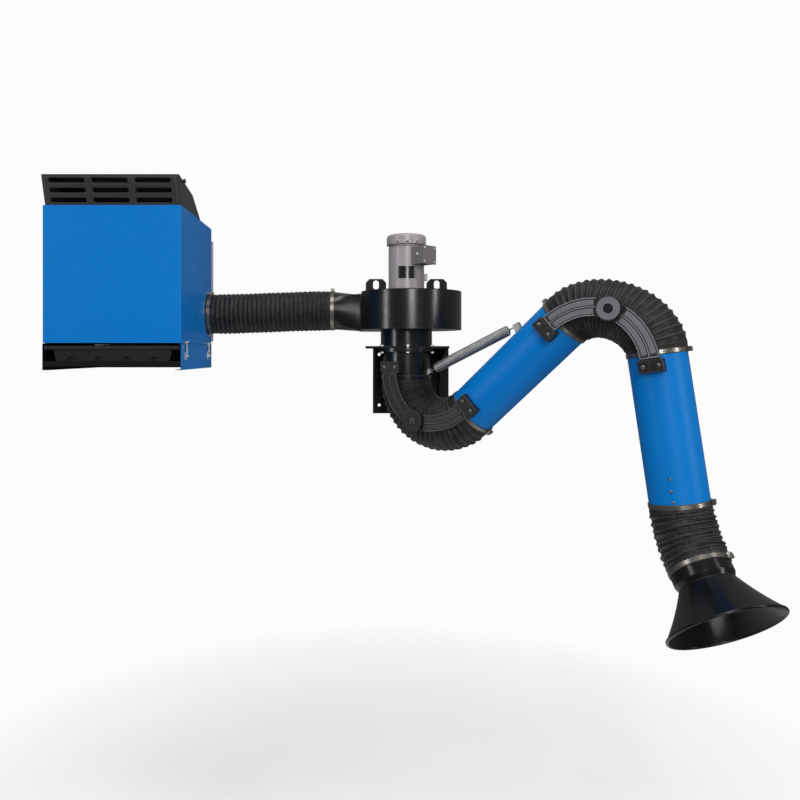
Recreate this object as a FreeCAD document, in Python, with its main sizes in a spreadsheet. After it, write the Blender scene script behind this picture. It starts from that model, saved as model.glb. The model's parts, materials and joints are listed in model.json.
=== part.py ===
import FreeCAD, Part
import math
import os
import Sketcher

# Wall-mounted fume extractor: filter cabinet, blower and a two-tube arm with a suction hood.
# Frame: X to the right along the wall, Y into the wall (wall face at Y = 0), Z up, millimetres.
# Origin: centre of the wall bolts of the arm bracket. Angles are in degrees.

Vector = FreeCAD.Vector
Placement = FreeCAD.Placement
Rotation = FreeCAD.Rotation

X_AXIS = Vector(1, 0, 0)
Y_AXIS = Vector(0, 1, 0)
Z_AXIS = Vector(0, 0, 1)
NO_TURN = Rotation()

SIZES = {
    # fits and cuts
    "seat_gap": 0.2,
    "run_gap": 0.05,
    "side_gap": 0.5,
    "overrun": 4.0,
    # wall bracket
    "bracket_width": 329.0,
    "bracket_height": 292.0,
    "bracket_shift": 32.0,
    "bracket_thick": 6.0,
    "wall_hole_span": 210.0,
    "wall_hole_rise": 220.0,
    "wall_hole_radius": 6.5,
    "shelf_half": 164.0,
    "shelf_front": 350.0,
    "shelf_thick": 8.0,
    "shelf_top": 143.0,
    "shelf_lip": 20.0,
    "shelf_corner": 14.0,
    "gusset_thick": 6.0,
    "gusset_left": 128.0,
    "gusset_right": 152.0,
    "gusset_reach": 300.0,
    "gusset_toe": 40.0,
    "gusset_foot": 8.0,
    "gusset_curve": 270.0,
    # swivel
    "axis_wall": 250.0,
    "race_radius": 123.5,
    "race_bottom": 121.0,
    "race_lip": 6.0,
    "race_bolt_circle": 114.0,
    "race_bolts": 6.0,
    "bolt_radius": 4.0,
    "bolt_head_radius": 8.0,
    "bolt_head_height": 5.0,
    "swivel_flange_radius": 104.0,
    "swivel_end": 10.0,
    # arm tubes and their places in the arm's plane
    "arm_azimuth": 33.0,
    "tube_radius": 95.0,
    "tube_wall": 1.5,
    "upper_length": 508.0,
    "upper_elevation": 42.9,
    "lower_length": 515.0,
    "lower_lean": 8.2,
    # elbow links
    "link_reach": 152.0,
    "link_offset": 102.0,
    "link_inset": 31.0,
    "link_width": 62.0,
    "link_thick": 12.0,
    "link_under": 108.0,
    "link_foot_length": 42.0,
    "link_foot_width": 80.0,
    "link_foot_base": 84.0,
    "link_rib": 5.0,
    "link_recess": 4.0,
    "link_disc_radius": 40.0,
    "link_disc_rise": 3.0,
    "link_socket_radius": 16.0,
    "link_socket_depth": 6.0,
    "pivot_radius": 8.0,
    "pivot_head_radius": 15.0,
    "pivot_head": 3.5,
    # hoses of the arm
    "hose_bore_gap": 0.3,
    "hose_wall": 2.0,
    "hose_rib": 5.0,
    "hose_cuff": 18.0,
    "clamp_width": 13.0,
    "clamp_thick": 1.4,
    "clamp_inset": 3.0,
    "worm_length": 30.0,
    "worm_width": 16.0,
    "worm_height": 11.0,
    # counterbalance spring
    "spring_low_reach": 112.0,
    "spring_low_height": 47.0,
    "spring_high_along": 348.0,
    "spring_high_rise": 118.0,
    "spring_coil_radius": 17.4,
    "spring_wire_radius": 2.8,
    "spring_lead": 22.0,
    "spring_block": 26.0,
    "spring_block_width": 18.0,
    "spring_block_drop": 44.0,
    # hood joint and hood
    "yoke_drop": 90.0,
    "yoke_overlap": 75.0,
    "stirrup_overlap": 25.0,
    "strap_width": 28.0,
    "strap_thick": 3.0,
    "strap_inset": 16.0,
    "strap_grip": 45.0,
    "gimbal_radius": 66.0,
    "gimbal_wall": 7.0,
    "gimbal_height": 18.0,
    "gimbal_pin_radius": 5.0,
    "hood_tilt_rest": 22.46,
    "hood_sway_rest": 25.14,
    "hood_neck_start": 106.0,
    "hood_clamp_drop": 130.0,
    "hood_waist_drop": 172.0,
    "hood_waist_radius": 88.0,
    "hood_rim_drop": 312.0,
    "hood_rim_radius": 176.0,
    "hood_flare_curve": 760.0,
    "hood_bead_radius": 5.0,
    "hood_wall": 2.5,
    # blower
    "scroll_bottom": 208.0,
    "scroll_height": 152.0,
    "scroll_radius": 191.0,
    "scroll_step": 20.0,
    "scroll_wall": 3.0,
    "outlet_reach": 185.0,
    "outlet_width": 170.0,
    "outlet_rise": 10.0,
    "transition_end": 293.0,
    "spigot_length": 42.0,
    "neck_radius": 103.0,
    "neck_wall": 2.0,
    "inlet_radius": 92.0,
    "impeller_radius": 138.0,
    "impeller_eye": 84.0,
    "impeller_height": 92.0,
    "impeller_drop": 26.0,
    "impeller_plate": 3.0,
    "impeller_blades": 10.0,
    "blade_thick": 3.0,
    "blade_curve": 130.0,
    "blade_sweep": 38.0,
    "hub_radius": 24.0,
    "hub_height": 36.0,
    "shaft_radius": 9.5,
    "shaft_grip": 80.0,
    "lug_spread": 122.0,
    "lug_width": 82.0,
    "lug_height": 53.0,
    "lug_thick": 8.0,
    "lug_chamfer": 15.0,
    "lug_eye_radius": 11.5,
    "lug_eye_length": 14.0,
    "lug_eye_height": 29.0,
    # motor
    "motor_radius": 71.5,
    "motor_height": 187.0,
    "motor_edge": 5.0,
    "motor_neck_radius": 66.0,
    "motor_neck": 6.0,
    "fan_cover_radius": 78.5,
    "fan_cover_height": 40.0,
    "fan_cover_round": 12.0,
    "fan_cover_wall": 2.5,
    "fan_cover_seat": 58.0,
    "fan_vents": 12.0,
    "fan_vent_width": 9.0,
    "fan_vent_height": 5.0,
    "terminal_azimuth": 48.0,
    "terminal_width": 70.0,
    "terminal_height": 68.0,
    "terminal_base": 104.0,
    "terminal_root": 60.0,
    "terminal_out": 124.0,
    "terminal_lid": 4.0,
    "terminal_lip": 2.0,
    "side_block_width": 20.0,
    "side_block_height": 27.0,
    "side_block_base": 46.0,
    "side_block_out": 84.0,
    # duct hose between blower and cabinet
    "duct_wall_distance": 100.0,
    "duct_radius": 79.0,
    "duct_rib": 3.2,
    "duct_hose_wall": 2.0,
    "duct_height_at_cabinet": 279.0,
    "duct_ribs": 26.0,
    "collar_length": 44.0,
    "collar_flange": 90.0,
    "collar_wall": 1.5,
    # filter cabinet
    "cabinet_middle": 1071.0,
    "cabinet_width": 496.0,
    "cabinet_front": 582.0,
    "cabinet_back": 57.0,
    "cover_bottom": 152.0,
    "cover_height": 493.0,
    "sheet": 2.0,
    "cover_edge": 5.0,
    "notch_radius": 93.0,
    "vent_width": 430.0,
    "vent_front": 30.0,
    "vent_depth": 240.0,
    "plenum_back": 6.0,
    "plenum_depth": 200.0,
    "plenum_bottom": 166.0,
    "plenum_height": 430.0,
    "rail_length": 470.0,
    "rail_height": 70.0,
    "rail_overlap": 28.0,
    "rail_hole_span": 400.0,
    "rail_hole_edge": 20.0,
    "rail_hole_radius": 5.5,
    "filter_play": 5.0,
    "filter_height": 430.0,
    "filter_depth": 250.0,
    "filter_frame": 6.0,
    "filter_pleats": 16.0,
    "filter_paper": 6.0,
    # exhaust grille on the cabinet
    "grille_inset": 4.0,
    "grille_height": 110.0,
    "grille_lean": 18.0,
    "grille_knee_back": 193.0,
    "grille_knee_height": 76.0,
    "grille_back": 334.0,
    "grille_wall": 4.0,
    "grille_round": 13.0,
    "slot_length": 129.0,
    "slot_height": 17.0,
    "slot_pitch": 153.0,
    "slot_rise": 35.0,
    "slot_base": 18.0,
    "slot_frame": 6.0,
    "slot_sink": 2.0,
    # tray housing and dust tray
    "skirt_bottom": 54.5,
    "skirt_seam": 1.5,
    "skirt_upstand": 12.0,
    "skirt_lap": 20.0,
    "skirt_foot": 18.0,
    "floor_top": 86.0,
    "floor_lip": 18.0,
    "tray_rim_bottom": 127.0,
    "tray_rim_height": 15.0,
    "tray_rim_round": 5.0,
    "tray_side_gap": 2.5,
    "tray_length": 490.0,
    "tray_side_step": 38.0,
    "tray_front_step": 7.0,
    "tray_draft": 9.0,
    "tray_wall": 3.0,
    "tray_front_wall": 34.0,
    "scallop_radius": 17.0,
    "scallop_depth": 22.0,
    "scallop_pitch": 100.0,
    # side latches
    "latch_height": 104.0,
    "latch_front": 70.0,
    "latch_pitch": 380.0,
    "latch_width": 11.0,
    "latch_pin_radius": 1.5,
    "latch_pin_out": 6.0,
    "latch_hub_radius": 3.5,
    "latch_base_height": 28.0,
    "latch_ear": 2.0,
    "latch_lever_thick": 3.0,
    "latch_lever_length": 55.0,
    "latch_hook": 3.0,
    "latch_hook_gap": 1.0,
    "latch_keeper_depth": 4.0,
    "latch_keeper_height": 4.0,
    "latch_tab": 7.0,
}

# Counts and shares that set the rhythm of the ribs and coils
SHOULDER_RIBS = 22
ELBOW_RIBS = 22
HOOD_PLEATS = 8
SPRING_TURNS = 52
SLOT_COLUMNS = 3
SLOT_ROWS = 3
SCALLOPS = 4
THROAT_ARCS = 4
RIB_STATION_SHARES = (0.08, 0.32, 0.62, 0.92)
LINK_RECESS_START_SHARE = 0.06
LINK_RECESS_END_SHARE = 0.79
SHOULDER_PULL_SHARE = 1.05
ELBOW_PULL_SHARE = 0.86
HOOD_HOSE_PULL_SHARE = 0.9


class Size:
    """A size with its value now and the sheet formula that gives it."""

    def __init__(self, value, formula):
        self.value = value
        self.formula = formula

    def joined(self, sign, other, value):
        return Size(value, f"({self.formula} {sign} {other.formula})")

    def __add__(self, other):
        other = as_size(other)
        return self.joined("+", other, self.value + other.value)

    def __sub__(self, other):
        other = as_size(other)
        return self.joined("-", other, self.value - other.value)

    def __mul__(self, other):
        other = as_size(other)
        return self.joined("*", other, self.value * other.value)

    def __truediv__(self, other):
        other = as_size(other)
        return self.joined("/", other, self.value / other.value)

    def __radd__(self, other):
        return as_size(other) + self

    def __rsub__(self, other):
        return as_size(other) - self

    def __rmul__(self, other):
        return as_size(other) * self

    def __rtruediv__(self, other):
        return as_size(other) / self

    def __neg__(self):
        return Size(-self.value, f"(-1 * {self.formula})")

    def __float__(self):
        return self.value


def as_size(number):
    if isinstance(number, Size):
        return number
    return Size(float(number), repr(float(number)))


def root_of(size):
    return Size(math.sqrt(size.value), f"sqrt({size.formula})")


def sine(angle):
    return Size(math.sin(math.radians(angle.value)), f"sin({angle.formula})")


def cosine(angle):
    return Size(math.cos(math.radians(angle.value)), f"cos({angle.formula})")


def angle_of(tangent):
    """Angle in degrees whose tangent is given."""
    return Size(math.degrees(math.atan(tangent.value)), f"(atan({tangent.formula}) / 1 deg)")


class Sheet:
    """Named sizes of the sheet."""

    def __getattr__(self, name):
        return Size(SIZES[name], f"Sizes.{name}")


S = Sheet()
doc = FreeCAD.newDocument("fume_extractor")
sheet = doc.addObject("Spreadsheet::Sheet", "Sizes")
for row, (alias, number) in enumerate(SIZES.items(), start=1):
    sheet.set(f"A{row}", alias)
    sheet.set(f"B{row}", str(number))
    sheet.setAlias(f"B{row}", alias)
doc.recompute()

nodes = []


def node(label, item):
    """Names a finished sub-part and lists it for the hand-over."""
    item.Label = label
    nodes.append(item)
    return item


def bind(item, field, size):
    item.setExpression(field, as_size(size).formula)


# Sketches and features of PartDesign bodies

def new_body(name):
    return doc.addObject("PartDesign::Body", name)


def sketch_on(body, role, offset=0):
    """Sketch on an origin plane of the body, moved along the plane's normal."""
    sketch = body.newObject("Sketcher::SketchObject", "sketch")
    plane = [item for item in body.Origin.OriginFeatures if item.Role == role][0]
    sketch.AttachmentSupport = [(plane, "")]
    sketch.MapMode = "FlatFace"
    bind(sketch, "AttachmentOffset.Base.z", offset)
    return sketch


def hold(sketch, kind, *where, size):
    """Dimension of a sketch, bound to its formula."""
    number = sketch.addConstraint(Sketcher.Constraint(kind, *where, float(size)))
    sketch.setExpression(f"Constraints[{number}]", as_size(size).formula)


def arc_between(start, end, radius):
    """Arc under a half circle from start to end: left turn if radius is positive."""
    chord = end - start
    half = chord.Length / 2
    rise = math.sqrt(max(radius * radius - half * half, 0))
    left = Vector(-chord.y, chord.x, 0) / chord.Length
    side = 1 if radius > 0 else -1
    centre = start + chord / 2 + left * (rise * side)
    first, last = (start, end) if radius > 0 else (end, start)
    begin = math.atan2(first.y - centre.y, first.x - centre.x)
    stop = math.atan2(last.y - centre.y, last.x - centre.x)
    circle = Part.Circle(centre, Z_AXIS, abs(radius))
    return Part.ArcOfCircle(circle, begin, stop)


def hold_arc(sketch, index, point, following):
    """Fixes an arc by its radius, or a half circle by its middle."""
    across = float(following[0]) - float(point[0])
    up = float(following[1]) - float(point[1])
    radius = point[2] if float(point[2]) > 0 else -point[2]
    if not near(math.hypot(across, up), 2 * radius):
        hold(sketch, "Radius", index, size=radius)
    elif abs(across) < abs(up):
        hold(sketch, "DistanceX", -1, 1, index, 3, size=(as_size(point[0]) + following[0]) / 2)
    else:
        hold(sketch, "DistanceY", -1, 1, index, 3, size=(as_size(point[1]) + following[1]) / 2)


def draw(sketch, points):
    """Closed outline; a third entry is the signed radius of the arc that leaves that point."""
    first = sketch.GeometryCount
    starts = []
    for index, point in enumerate(points):
        following = points[(index + 1) % len(points)]
        start = Vector(float(point[0]), float(point[1]), 0)
        end = Vector(float(following[0]), float(following[1]), 0)
        if len(point) == 3:
            sketch.addGeometry(arc_between(start, end, float(point[2])))
            starts.append(1 if float(point[2]) > 0 else 2)
        else:
            sketch.addGeometry(Part.LineSegment(start, end))
            starts.append(1)
    for index, point in enumerate(points):
        after = (index + 1) % len(points)
        end_of = 3 - starts[index]
        sketch.addConstraint(
            Sketcher.Constraint("Coincident", first + index, end_of, first + after, starts[after]))
    for index, point in enumerate(points):
        hold(sketch, "DistanceX", -1, 1, first + index, starts[index], size=point[0])
        hold(sketch, "DistanceY", -1, 1, first + index, starts[index], size=point[1])
        if len(point) == 3:
            hold_arc(sketch, first + index, point, points[(index + 1) % len(points)])


def draw_rectangle(sketch, left, low, right, high):
    draw(sketch, [(left, low), (right, low), (right, high), (left, high)])


def draw_circle(sketch, across, up, radius):
    index = sketch.addGeometry(Part.Circle(Vector(float(across), float(up), 0), Z_AXIS, float(radius)))
    hold(sketch, "DistanceX", -1, 1, index, 3, size=across)
    hold(sketch, "DistanceY", -1, 1, index, 3, size=up)
    hold(sketch, "Radius", index, size=radius)


def draw_slot(sketch, across, up, straight, radius):
    """Long round-ended slot along the sketch's first axis."""
    draw(sketch, [
        (across - straight / 2, up - radius),
        (across + straight / 2, up - radius, radius),
        (across + straight / 2, up + radius),
        (across - straight / 2, up + radius, radius),
    ])


def feature(body, kind, sketch, length, reverse, taper=None):
    item = body.newObject(kind, "feature")
    item.Profile = sketch
    bind(item, "Length", length)
    item.Reversed = reverse
    if taper is not None:
        bind(item, "TaperAngle", taper)
    return item


def pad(body, sketch, length, reverse=False, taper=None):
    return feature(body, "PartDesign::Pad", sketch, length, reverse, taper)


def pocket(body, sketch, length, reverse=False, taper=None):
    """Cut that must take material away, or the build stops."""
    doc.recompute()
    before = body.Shape.Volume
    item = feature(body, "PartDesign::Pocket", sketch, length, reverse, taper)
    doc.recompute()
    if body.Shape.Volume >= before:
        raise RuntimeError(f"the cut {item.Name} of {body.Name} removes nothing")
    return item


def revolve(body, sketch, axis="V_Axis"):
    item = body.newObject("PartDesign::Revolution", "revolution")
    item.Profile = sketch
    item.ReferenceAxis = (sketch, [axis])
    return item


def repeat_round(body, original, count):
    """Copies of a feature spaced evenly about the body's Z axis."""
    item = body.newObject("PartDesign::PolarPattern", "pattern")
    item.Originals = [original]
    axis = [part for part in body.Origin.OriginFeatures if part.Role == "Z_Axis"][0]
    item.Axis = (axis, [""])
    bind(item, "Occurrences", count)
    body.Tip = item
    return item


def soften(body, radius, test):
    """Fillet on the edges that the test picks."""
    doc.recompute()
    base = body.Tip
    names = [f"Edge{number}" for number, edge in enumerate(base.Shape.Edges, start=1) if test(edge)]
    if not names:
        raise RuntimeError(f"no edge to round on {body.Name}")
    item = body.newObject("PartDesign::Fillet", "fillet")
    item.Base = (base, names)
    bind(item, "Radius", radius)
    body.Tip = item
    return item


def near(first, second):
    return abs(first - float(second)) < float(S.run_gap)


def straight_along(edge, axis):
    """True for a straight edge along the axis."""
    if edge.Curve.TypeId != "Part::GeomLine":
        return False
    return edge.Curve.Direction.cross(axis).Length < float(S.run_gap)


# Part primitives and booleans

def cylinder(radius, height, place):
    item = doc.addObject("Part::Cylinder", "cylinder")
    bind(item, "Radius", radius)
    bind(item, "Height", height)
    item.Placement = place
    return item


def block(length, width, height, place):
    item = doc.addObject("Part::Box", "block")
    bind(item, "Length", length)
    bind(item, "Width", width)
    bind(item, "Height", height)
    item.Placement = place
    return item


def fused(*items):
    item = doc.addObject("Part::MultiFuse", "fused")
    item.Shapes = list(items)
    return item


def cut(base, tool):
    item = doc.addObject("Part::Cut", "cut")
    item.Base = base
    item.Tool = tool
    return item


def group(*items):
    """Separate solids of one kind under one node."""
    item = doc.addObject("Part::Compound", "group")
    item.Links = list(items)
    return item


def shaped(shape, place):
    """Free form that no sketch feature makes."""
    item = doc.addObject("Part::Feature", "form")
    item.Shape = shape
    item.Placement = place
    return item


def at(x=0, y=0, z=0, turn=NO_TURN):
    return Placement(Vector(float(x), float(y), float(z)), turn)


def about(axis, angle):
    return Placement(Vector(), Rotation(axis, float(angle)))


# Frames of the arm: reach from the swivel axis along X, height along Z, the wall side along Y

arm_frame = at(y=-S.axis_wall, turn=Rotation(Z_AXIS, -float(S.arm_azimuth)))
shoulder_pivot = Vector(float(S.link_offset), 0, float(S.swivel_end - S.link_reach))
along_upper = Rotation(Y_AXIS, -float(S.upper_elevation)).multVec(X_AXIS)
across_upper = Rotation(Y_AXIS, -float(S.upper_elevation)).multVec(Z_AXIS)
upper_start = shoulder_pivot + along_upper * float(S.link_reach) - across_upper * float(S.link_offset)
upper_end = upper_start + along_upper * float(S.upper_length)
elbow_pivot = upper_end + along_upper * float(S.link_reach) - across_upper * float(S.link_offset)
lower_turn = Rotation(Y_AXIS, 90 - float(S.lower_lean))
along_lower = lower_turn.multVec(X_AXIS)
across_lower = lower_turn.multVec(Z_AXIS)
lower_start = elbow_pivot + along_lower * float(S.link_reach) + across_lower * float(S.link_offset)

swivel_frame = arm_frame * at(z=S.swivel_end, turn=Rotation(Y_AXIS, 90))
upper_frame = arm_frame * Placement(upper_start, Rotation(Y_AXIS, -float(S.upper_elevation)))
lower_frame = arm_frame * Placement(lower_start, lower_turn)
gimbal_frame = (lower_frame * at(x=S.lower_length + S.yoke_drop)
                * about(Y_AXIS, -S.hood_tilt_rest))
hood_frame = gimbal_frame * about(Z_AXIS, -S.hood_sway_rest)

# Link frames: X runs on past the tube's end, Z points to the inner side of the bend
shoulder_base_frame = swivel_frame
shoulder_arm_frame = upper_frame * about(Z_AXIS, 180)
elbow_upper_frame = upper_frame * at(x=S.upper_length) * about(X_AXIS, 180)
elbow_lower_frame = lower_frame * about(Y_AXIS, 180)


# Wall bracket with shelf and gussets

def make_wall_bracket():
    body = new_body("wall_bracket")
    left = S.bracket_shift - S.bracket_width / 2
    right = S.bracket_shift + S.bracket_width / 2
    plate = sketch_on(body, "XZ_Plane")
    draw_rectangle(plate, left, -S.bracket_height / 2, right, S.bracket_height / 2)
    for across in (-S.wall_hole_span / 2, S.wall_hole_span / 2):
        for up in (-S.wall_hole_rise / 2, S.wall_hole_rise / 2):
            draw_circle(plate, across, up, S.wall_hole_radius)
    pad(body, plate, S.bracket_thick)
    shelf_bottom = S.shelf_top - S.shelf_thick
    shelf = sketch_on(body, "XY_Plane", shelf_bottom)
    corner = S.shelf_corner
    draw(shelf, [
        (-S.shelf_half, -S.bracket_thick / 2),
        (-S.shelf_half, corner - S.shelf_front, corner),
        (corner - S.shelf_half, -S.shelf_front),
        (S.shelf_half - corner, -S.shelf_front, corner),
        (S.shelf_half, corner - S.shelf_front),
        (S.shelf_half, -S.bracket_thick / 2),
    ])
    draw_circle(shelf, 0, -S.axis_wall, S.inlet_radius)
    pad(body, shelf, S.shelf_thick)
    for place in (-S.gusset_left, S.gusset_right):
        gusset = sketch_on(body, "YZ_Plane", place - S.gusset_thick / 2)
        toe = S.gusset_foot - S.bracket_height / 2
        draw(gusset, [
            (-S.bracket_thick / 2, shelf_bottom + S.shelf_thick / 2),
            (-S.gusset_reach, shelf_bottom + S.shelf_thick / 2),
            (-S.gusset_reach, shelf_bottom - S.shelf_lip, -S.gusset_curve),
            (-S.gusset_toe, toe),
            (-S.bracket_thick / 2, toe),
        ])
        pad(body, gusset, S.gusset_thick)
    hole = sketch_on(body, "XY_Plane", S.shelf_top + S.overrun)
    for turn in range(int(S.race_bolts.value)):
        across, up = race_bolt_place(turn)
        draw_circle(hole, across, up - S.axis_wall, S.bolt_radius + S.seat_gap)
    pocket(body, hole, S.shelf_thick + 2 * S.overrun)
    return node("wall_bracket", body)


def race_bolt_place(turn):
    """Place of a race bolt about the swivel axis."""
    step = 360 / S.race_bolts
    angle = step * turn + step / 2
    return S.race_bolt_circle * cosine(angle), S.race_bolt_circle * sine(angle)


def make_swivel_race():
    """Ring bolted under the shelf that carries the turning flange."""
    body = new_body("swivel_race")
    ring = sketch_on(body, "XZ_Plane")
    shelf_bottom = S.shelf_top - S.shelf_thick
    draw(ring, [
        (S.tube_radius + S.side_gap, S.race_bottom),
        (S.race_radius, S.race_bottom),
        (S.race_radius, shelf_bottom),
        (S.swivel_flange_radius + S.side_gap, shelf_bottom),
        (S.swivel_flange_radius + S.side_gap, S.race_bottom + S.race_lip),
        (S.tube_radius + S.side_gap, S.race_bottom + S.race_lip),
    ])
    revolve(body, ring)
    holes = sketch_on(body, "XY_Plane", shelf_bottom + S.overrun)
    for turn in range(int(S.race_bolts.value)):
        across, up = race_bolt_place(turn)
        draw_circle(holes, across, up, S.bolt_radius + S.seat_gap)
    pocket(body, holes, shelf_bottom - S.race_bottom + 2 * S.overrun)
    body.Placement = at(y=-S.axis_wall)
    return node("swivel_race", body)


def make_shelf_bolts():
    """Hex bolts through the race and the shelf, with their nuts on top."""
    bolts = []
    grip = S.shelf_top - S.race_bottom
    for turn in range(int(S.race_bolts.value)):
        across, up = race_bolt_place(turn)
        place = at(across, up - S.axis_wall, S.race_bottom)
        shank = cylinder(S.bolt_radius, grip + S.bolt_head_height, place)
        pieces = [shank]
        for low in (-S.bolt_head_height, grip):
            head = doc.addObject("Part::Prism", "hex")
            head.Polygon = 6
            bind(head, "Circumradius", S.bolt_head_radius)
            bind(head, "Height", S.bolt_head_height)
            head.Placement = place * at(z=low)
            pieces.append(head)
        bolts.append(fused(*pieces))
    return node("shelf_bolts", group(*bolts))


# Swivel and tubes

def make_swivel_tube():
    body = new_body("swivel_tube")
    profile = sketch_on(body, "XZ_Plane")
    top = S.shelf_top - S.shelf_thick - S.side_gap
    flange = S.race_bottom + S.race_lip + S.side_gap
    inner = S.tube_radius - S.tube_wall
    draw(profile, [
        (inner, S.swivel_end),
        (S.tube_radius, S.swivel_end),
        (S.tube_radius, flange),
        (S.swivel_flange_radius, flange),
        (S.swivel_flange_radius, top),
        (inner, top),
    ])
    revolve(body, profile)
    body.Placement = at(y=-S.axis_wall)
    return node("swivel_tube", body)


def make_tube(label, frame, length):
    """Straight arm tube along the X axis of its frame."""
    turn = frame * about(Y_AXIS, 90)
    outside = cylinder(S.tube_radius, length, turn)
    bore = cylinder(S.tube_radius - S.tube_wall, length + 2 * S.overrun, turn * at(z=-S.overrun))
    return node(label, cut(outside, bore))


# Curved elbow links

def link_curve():
    """Radius of the link's middle line, tangent to the tube and passing through the pivot."""
    run = S.link_reach + S.link_inset
    return (run * run + S.link_offset * S.link_offset) / (2 * S.link_offset)


def link_point(radius, angle):
    """Point on a circle about the link's centre of curvature, counted from the foot."""
    return radius * sine(angle) - S.link_inset, link_curve() - radius * cosine(angle)


def make_link(label, frame, side, over):
    """One ribbed link. side is 1 on +Y and -1 on -Y, over is true for the link with the disc."""
    body = new_body(label)
    curve = link_curve()
    half = S.link_width / 2
    run = S.link_reach + S.link_inset
    span = angle_of(run / (curve - S.link_offset))
    inner_face = S.link_under
    if over:
        inner_face = S.link_under + S.link_thick + S.side_gap
    outer_face = inner_face + S.link_thick
    reverse = side > 0
    foot_back = -S.link_inset - S.link_foot_length
    foot_half = S.link_foot_width / 2

    def plane(distance):
        return sketch_on(body, "XZ_Plane", distance if side < 0 else -distance)

    plate = plane(inner_face)
    outer_end = link_point(curve + half, span)
    inner_end = link_point(curve - half, span)
    draw(plate, [
        (-S.link_inset, -half, curve + half),
        (outer_end[0], outer_end[1], half),
        (inner_end[0], inner_end[1], half - curve),
        (-S.link_inset, half),
        (-S.link_inset, foot_half),
        (foot_back, foot_half),
        (foot_back, -foot_half),
        (-S.link_inset, -foot_half),
    ])
    pad(body, plate, S.link_thick, reverse)
    foot = plane(S.link_foot_base)
    draw_rectangle(foot, foot_back, -foot_half, -S.link_inset, foot_half)
    pad(body, foot, inner_face - S.link_foot_base, reverse)
    if over:
        disc = plane(inner_face)
        draw_circle(disc, S.link_reach, S.link_offset, S.link_disc_radius)
        pad(body, disc, S.link_thick + S.link_disc_rise, reverse)
    seat = sketch_on(body, "YZ_Plane", foot_back - S.overrun)
    draw_circle(seat, 0, 0, S.tube_radius + S.seat_gap)
    pocket(body, seat, S.link_foot_length + 2 * S.overrun, True)
    recess = plane(outer_face)
    limits = [(curve + S.link_rib / 2, curve + half - S.link_rib),
              (curve - half + S.link_rib, curve - S.link_rib / 2)]
    for low, high in limits:
        near_angle = span * LINK_RECESS_START_SHARE
        far_angle = span * LINK_RECESS_END_SHARE
        corners = [link_point(high, near_angle), link_point(high, far_angle),
                   link_point(low, far_angle), link_point(low, near_angle)]
        draw(recess, [
            (corners[0][0], corners[0][1], high),
            corners[1],
            (corners[2][0], corners[2][1], -low),
            corners[3],
        ])
    pocket(body, recess, S.link_recess, reverse)
    bore = plane(inner_face - S.overrun)
    draw_circle(bore, S.link_reach, S.link_offset, S.pivot_radius + S.run_gap)
    pocket(body, bore, S.link_thick + S.link_disc_rise + 2 * S.overrun, not reverse)
    if over:
        socket = plane(outer_face + S.link_disc_rise)
        draw_circle(socket, S.link_reach, S.link_offset, S.link_socket_radius)
        pocket(body, socket, S.link_socket_depth, reverse)
    body.Placement = frame
    return node(label, body)


def make_link_pair(label, frame, over, front):
    """Front link faces the viewer, rear link faces the wall."""
    make_link(f"{label}_front", frame, front, over)
    make_link(f"{label}_rear", frame, -front, over)


def make_pivots(label, frame):
    """Shoulder bolts of one joint: inner head, shank and a hex nut in the disc's socket."""
    bolts = []
    over_face = S.link_under + 2 * S.link_thick + S.side_gap
    floor = over_face + S.link_disc_rise - S.link_socket_depth
    low = S.link_under - S.seat_gap - S.pivot_head
    for turn in (90, -90):
        place = frame * at(S.link_reach, 0, S.link_offset) * about(X_AXIS, turn)
        head = cylinder(S.pivot_head_radius, S.pivot_head, place * at(z=low))
        shank = cylinder(S.pivot_radius, floor + S.link_socket_depth - low, place * at(z=low))
        nut = doc.addObject("Part::Prism", "hex")
        nut.Polygon = 6
        bind(nut, "Circumradius", S.link_socket_radius - S.side_gap)
        bind(nut, "Height", S.link_socket_depth - S.side_gap)
        nut.Placement = place * at(z=floor)
        bolts.append(fused(head, shank, nut))
    return node(label, group(*bolts))


# Hoses with ribs

def ring(point, tangent, reference, radius):
    """Circle square to the path, with its start held towards the reference direction."""
    across = reference - tangent * reference.dot(tangent)
    turn = Rotation(across, Vector(), tangent, "ZXY")
    wire = Part.Wire(Part.makeCircle(radius))
    wire.Placement = Placement(point, turn)
    return wire


def ribbed_tube(path, reference, length, cuff, ribs, bore, wall, rib):
    """Hose with a clear bore: straight cuffs and evenly spaced ribs between them."""
    outside = [(0, bore + wall)]
    pitch = (length - 2 * cuff) / ribs
    for number in range(ribs):
        low, rise, fall, end = [cuff + (number + share) * pitch for share in RIB_STATION_SHARES]
        outside += [(low, bore + wall), (rise, bore + wall + rib), (fall, bore + wall + rib),
                    (end, bore + wall)]
    outside.append((length, bore + wall))
    inside = [-wall] + [cuff + number * pitch for number in range(ribs + 1)] + [length + wall]
    skin = [ring(*path(distance), reference, radius) for distance, radius in outside]
    core = [ring(*path(distance), reference, bore) for distance in inside]
    return Part.makeLoft(skin, True, True).cut(Part.makeLoft(core, True, True))


def curve_between(start, start_way, end, end_way, pull):
    """Smooth curve by its share from 0 to 1; pull is the strength of both end directions."""

    def curve(share):
        square = share * share
        cube = square * share
        point = (start * (2 * cube - 3 * square + 1) + start_way * pull * (cube - 2 * square + share)
                 + end * (3 * square - 2 * cube) + end_way * pull * (cube - square))
        tangent = (start * (6 * square - 6 * share) + start_way * pull * (3 * square - 4 * share + 1)
                   + end * (6 * share - 6 * square) + end_way * pull * (3 * square - 2 * share))
        return point, tangent.normalize()

    return curve


def cuffed_path(curve, free, cuff):
    """Path by distance: a straight cuff, the curve over its free length, a straight cuff."""

    def path(distance):
        along = distance - cuff
        share = min(max(along / free, 0), 1)
        point, tangent = curve(share)
        return point + tangent * (along - share * free), tangent

    return path


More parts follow.
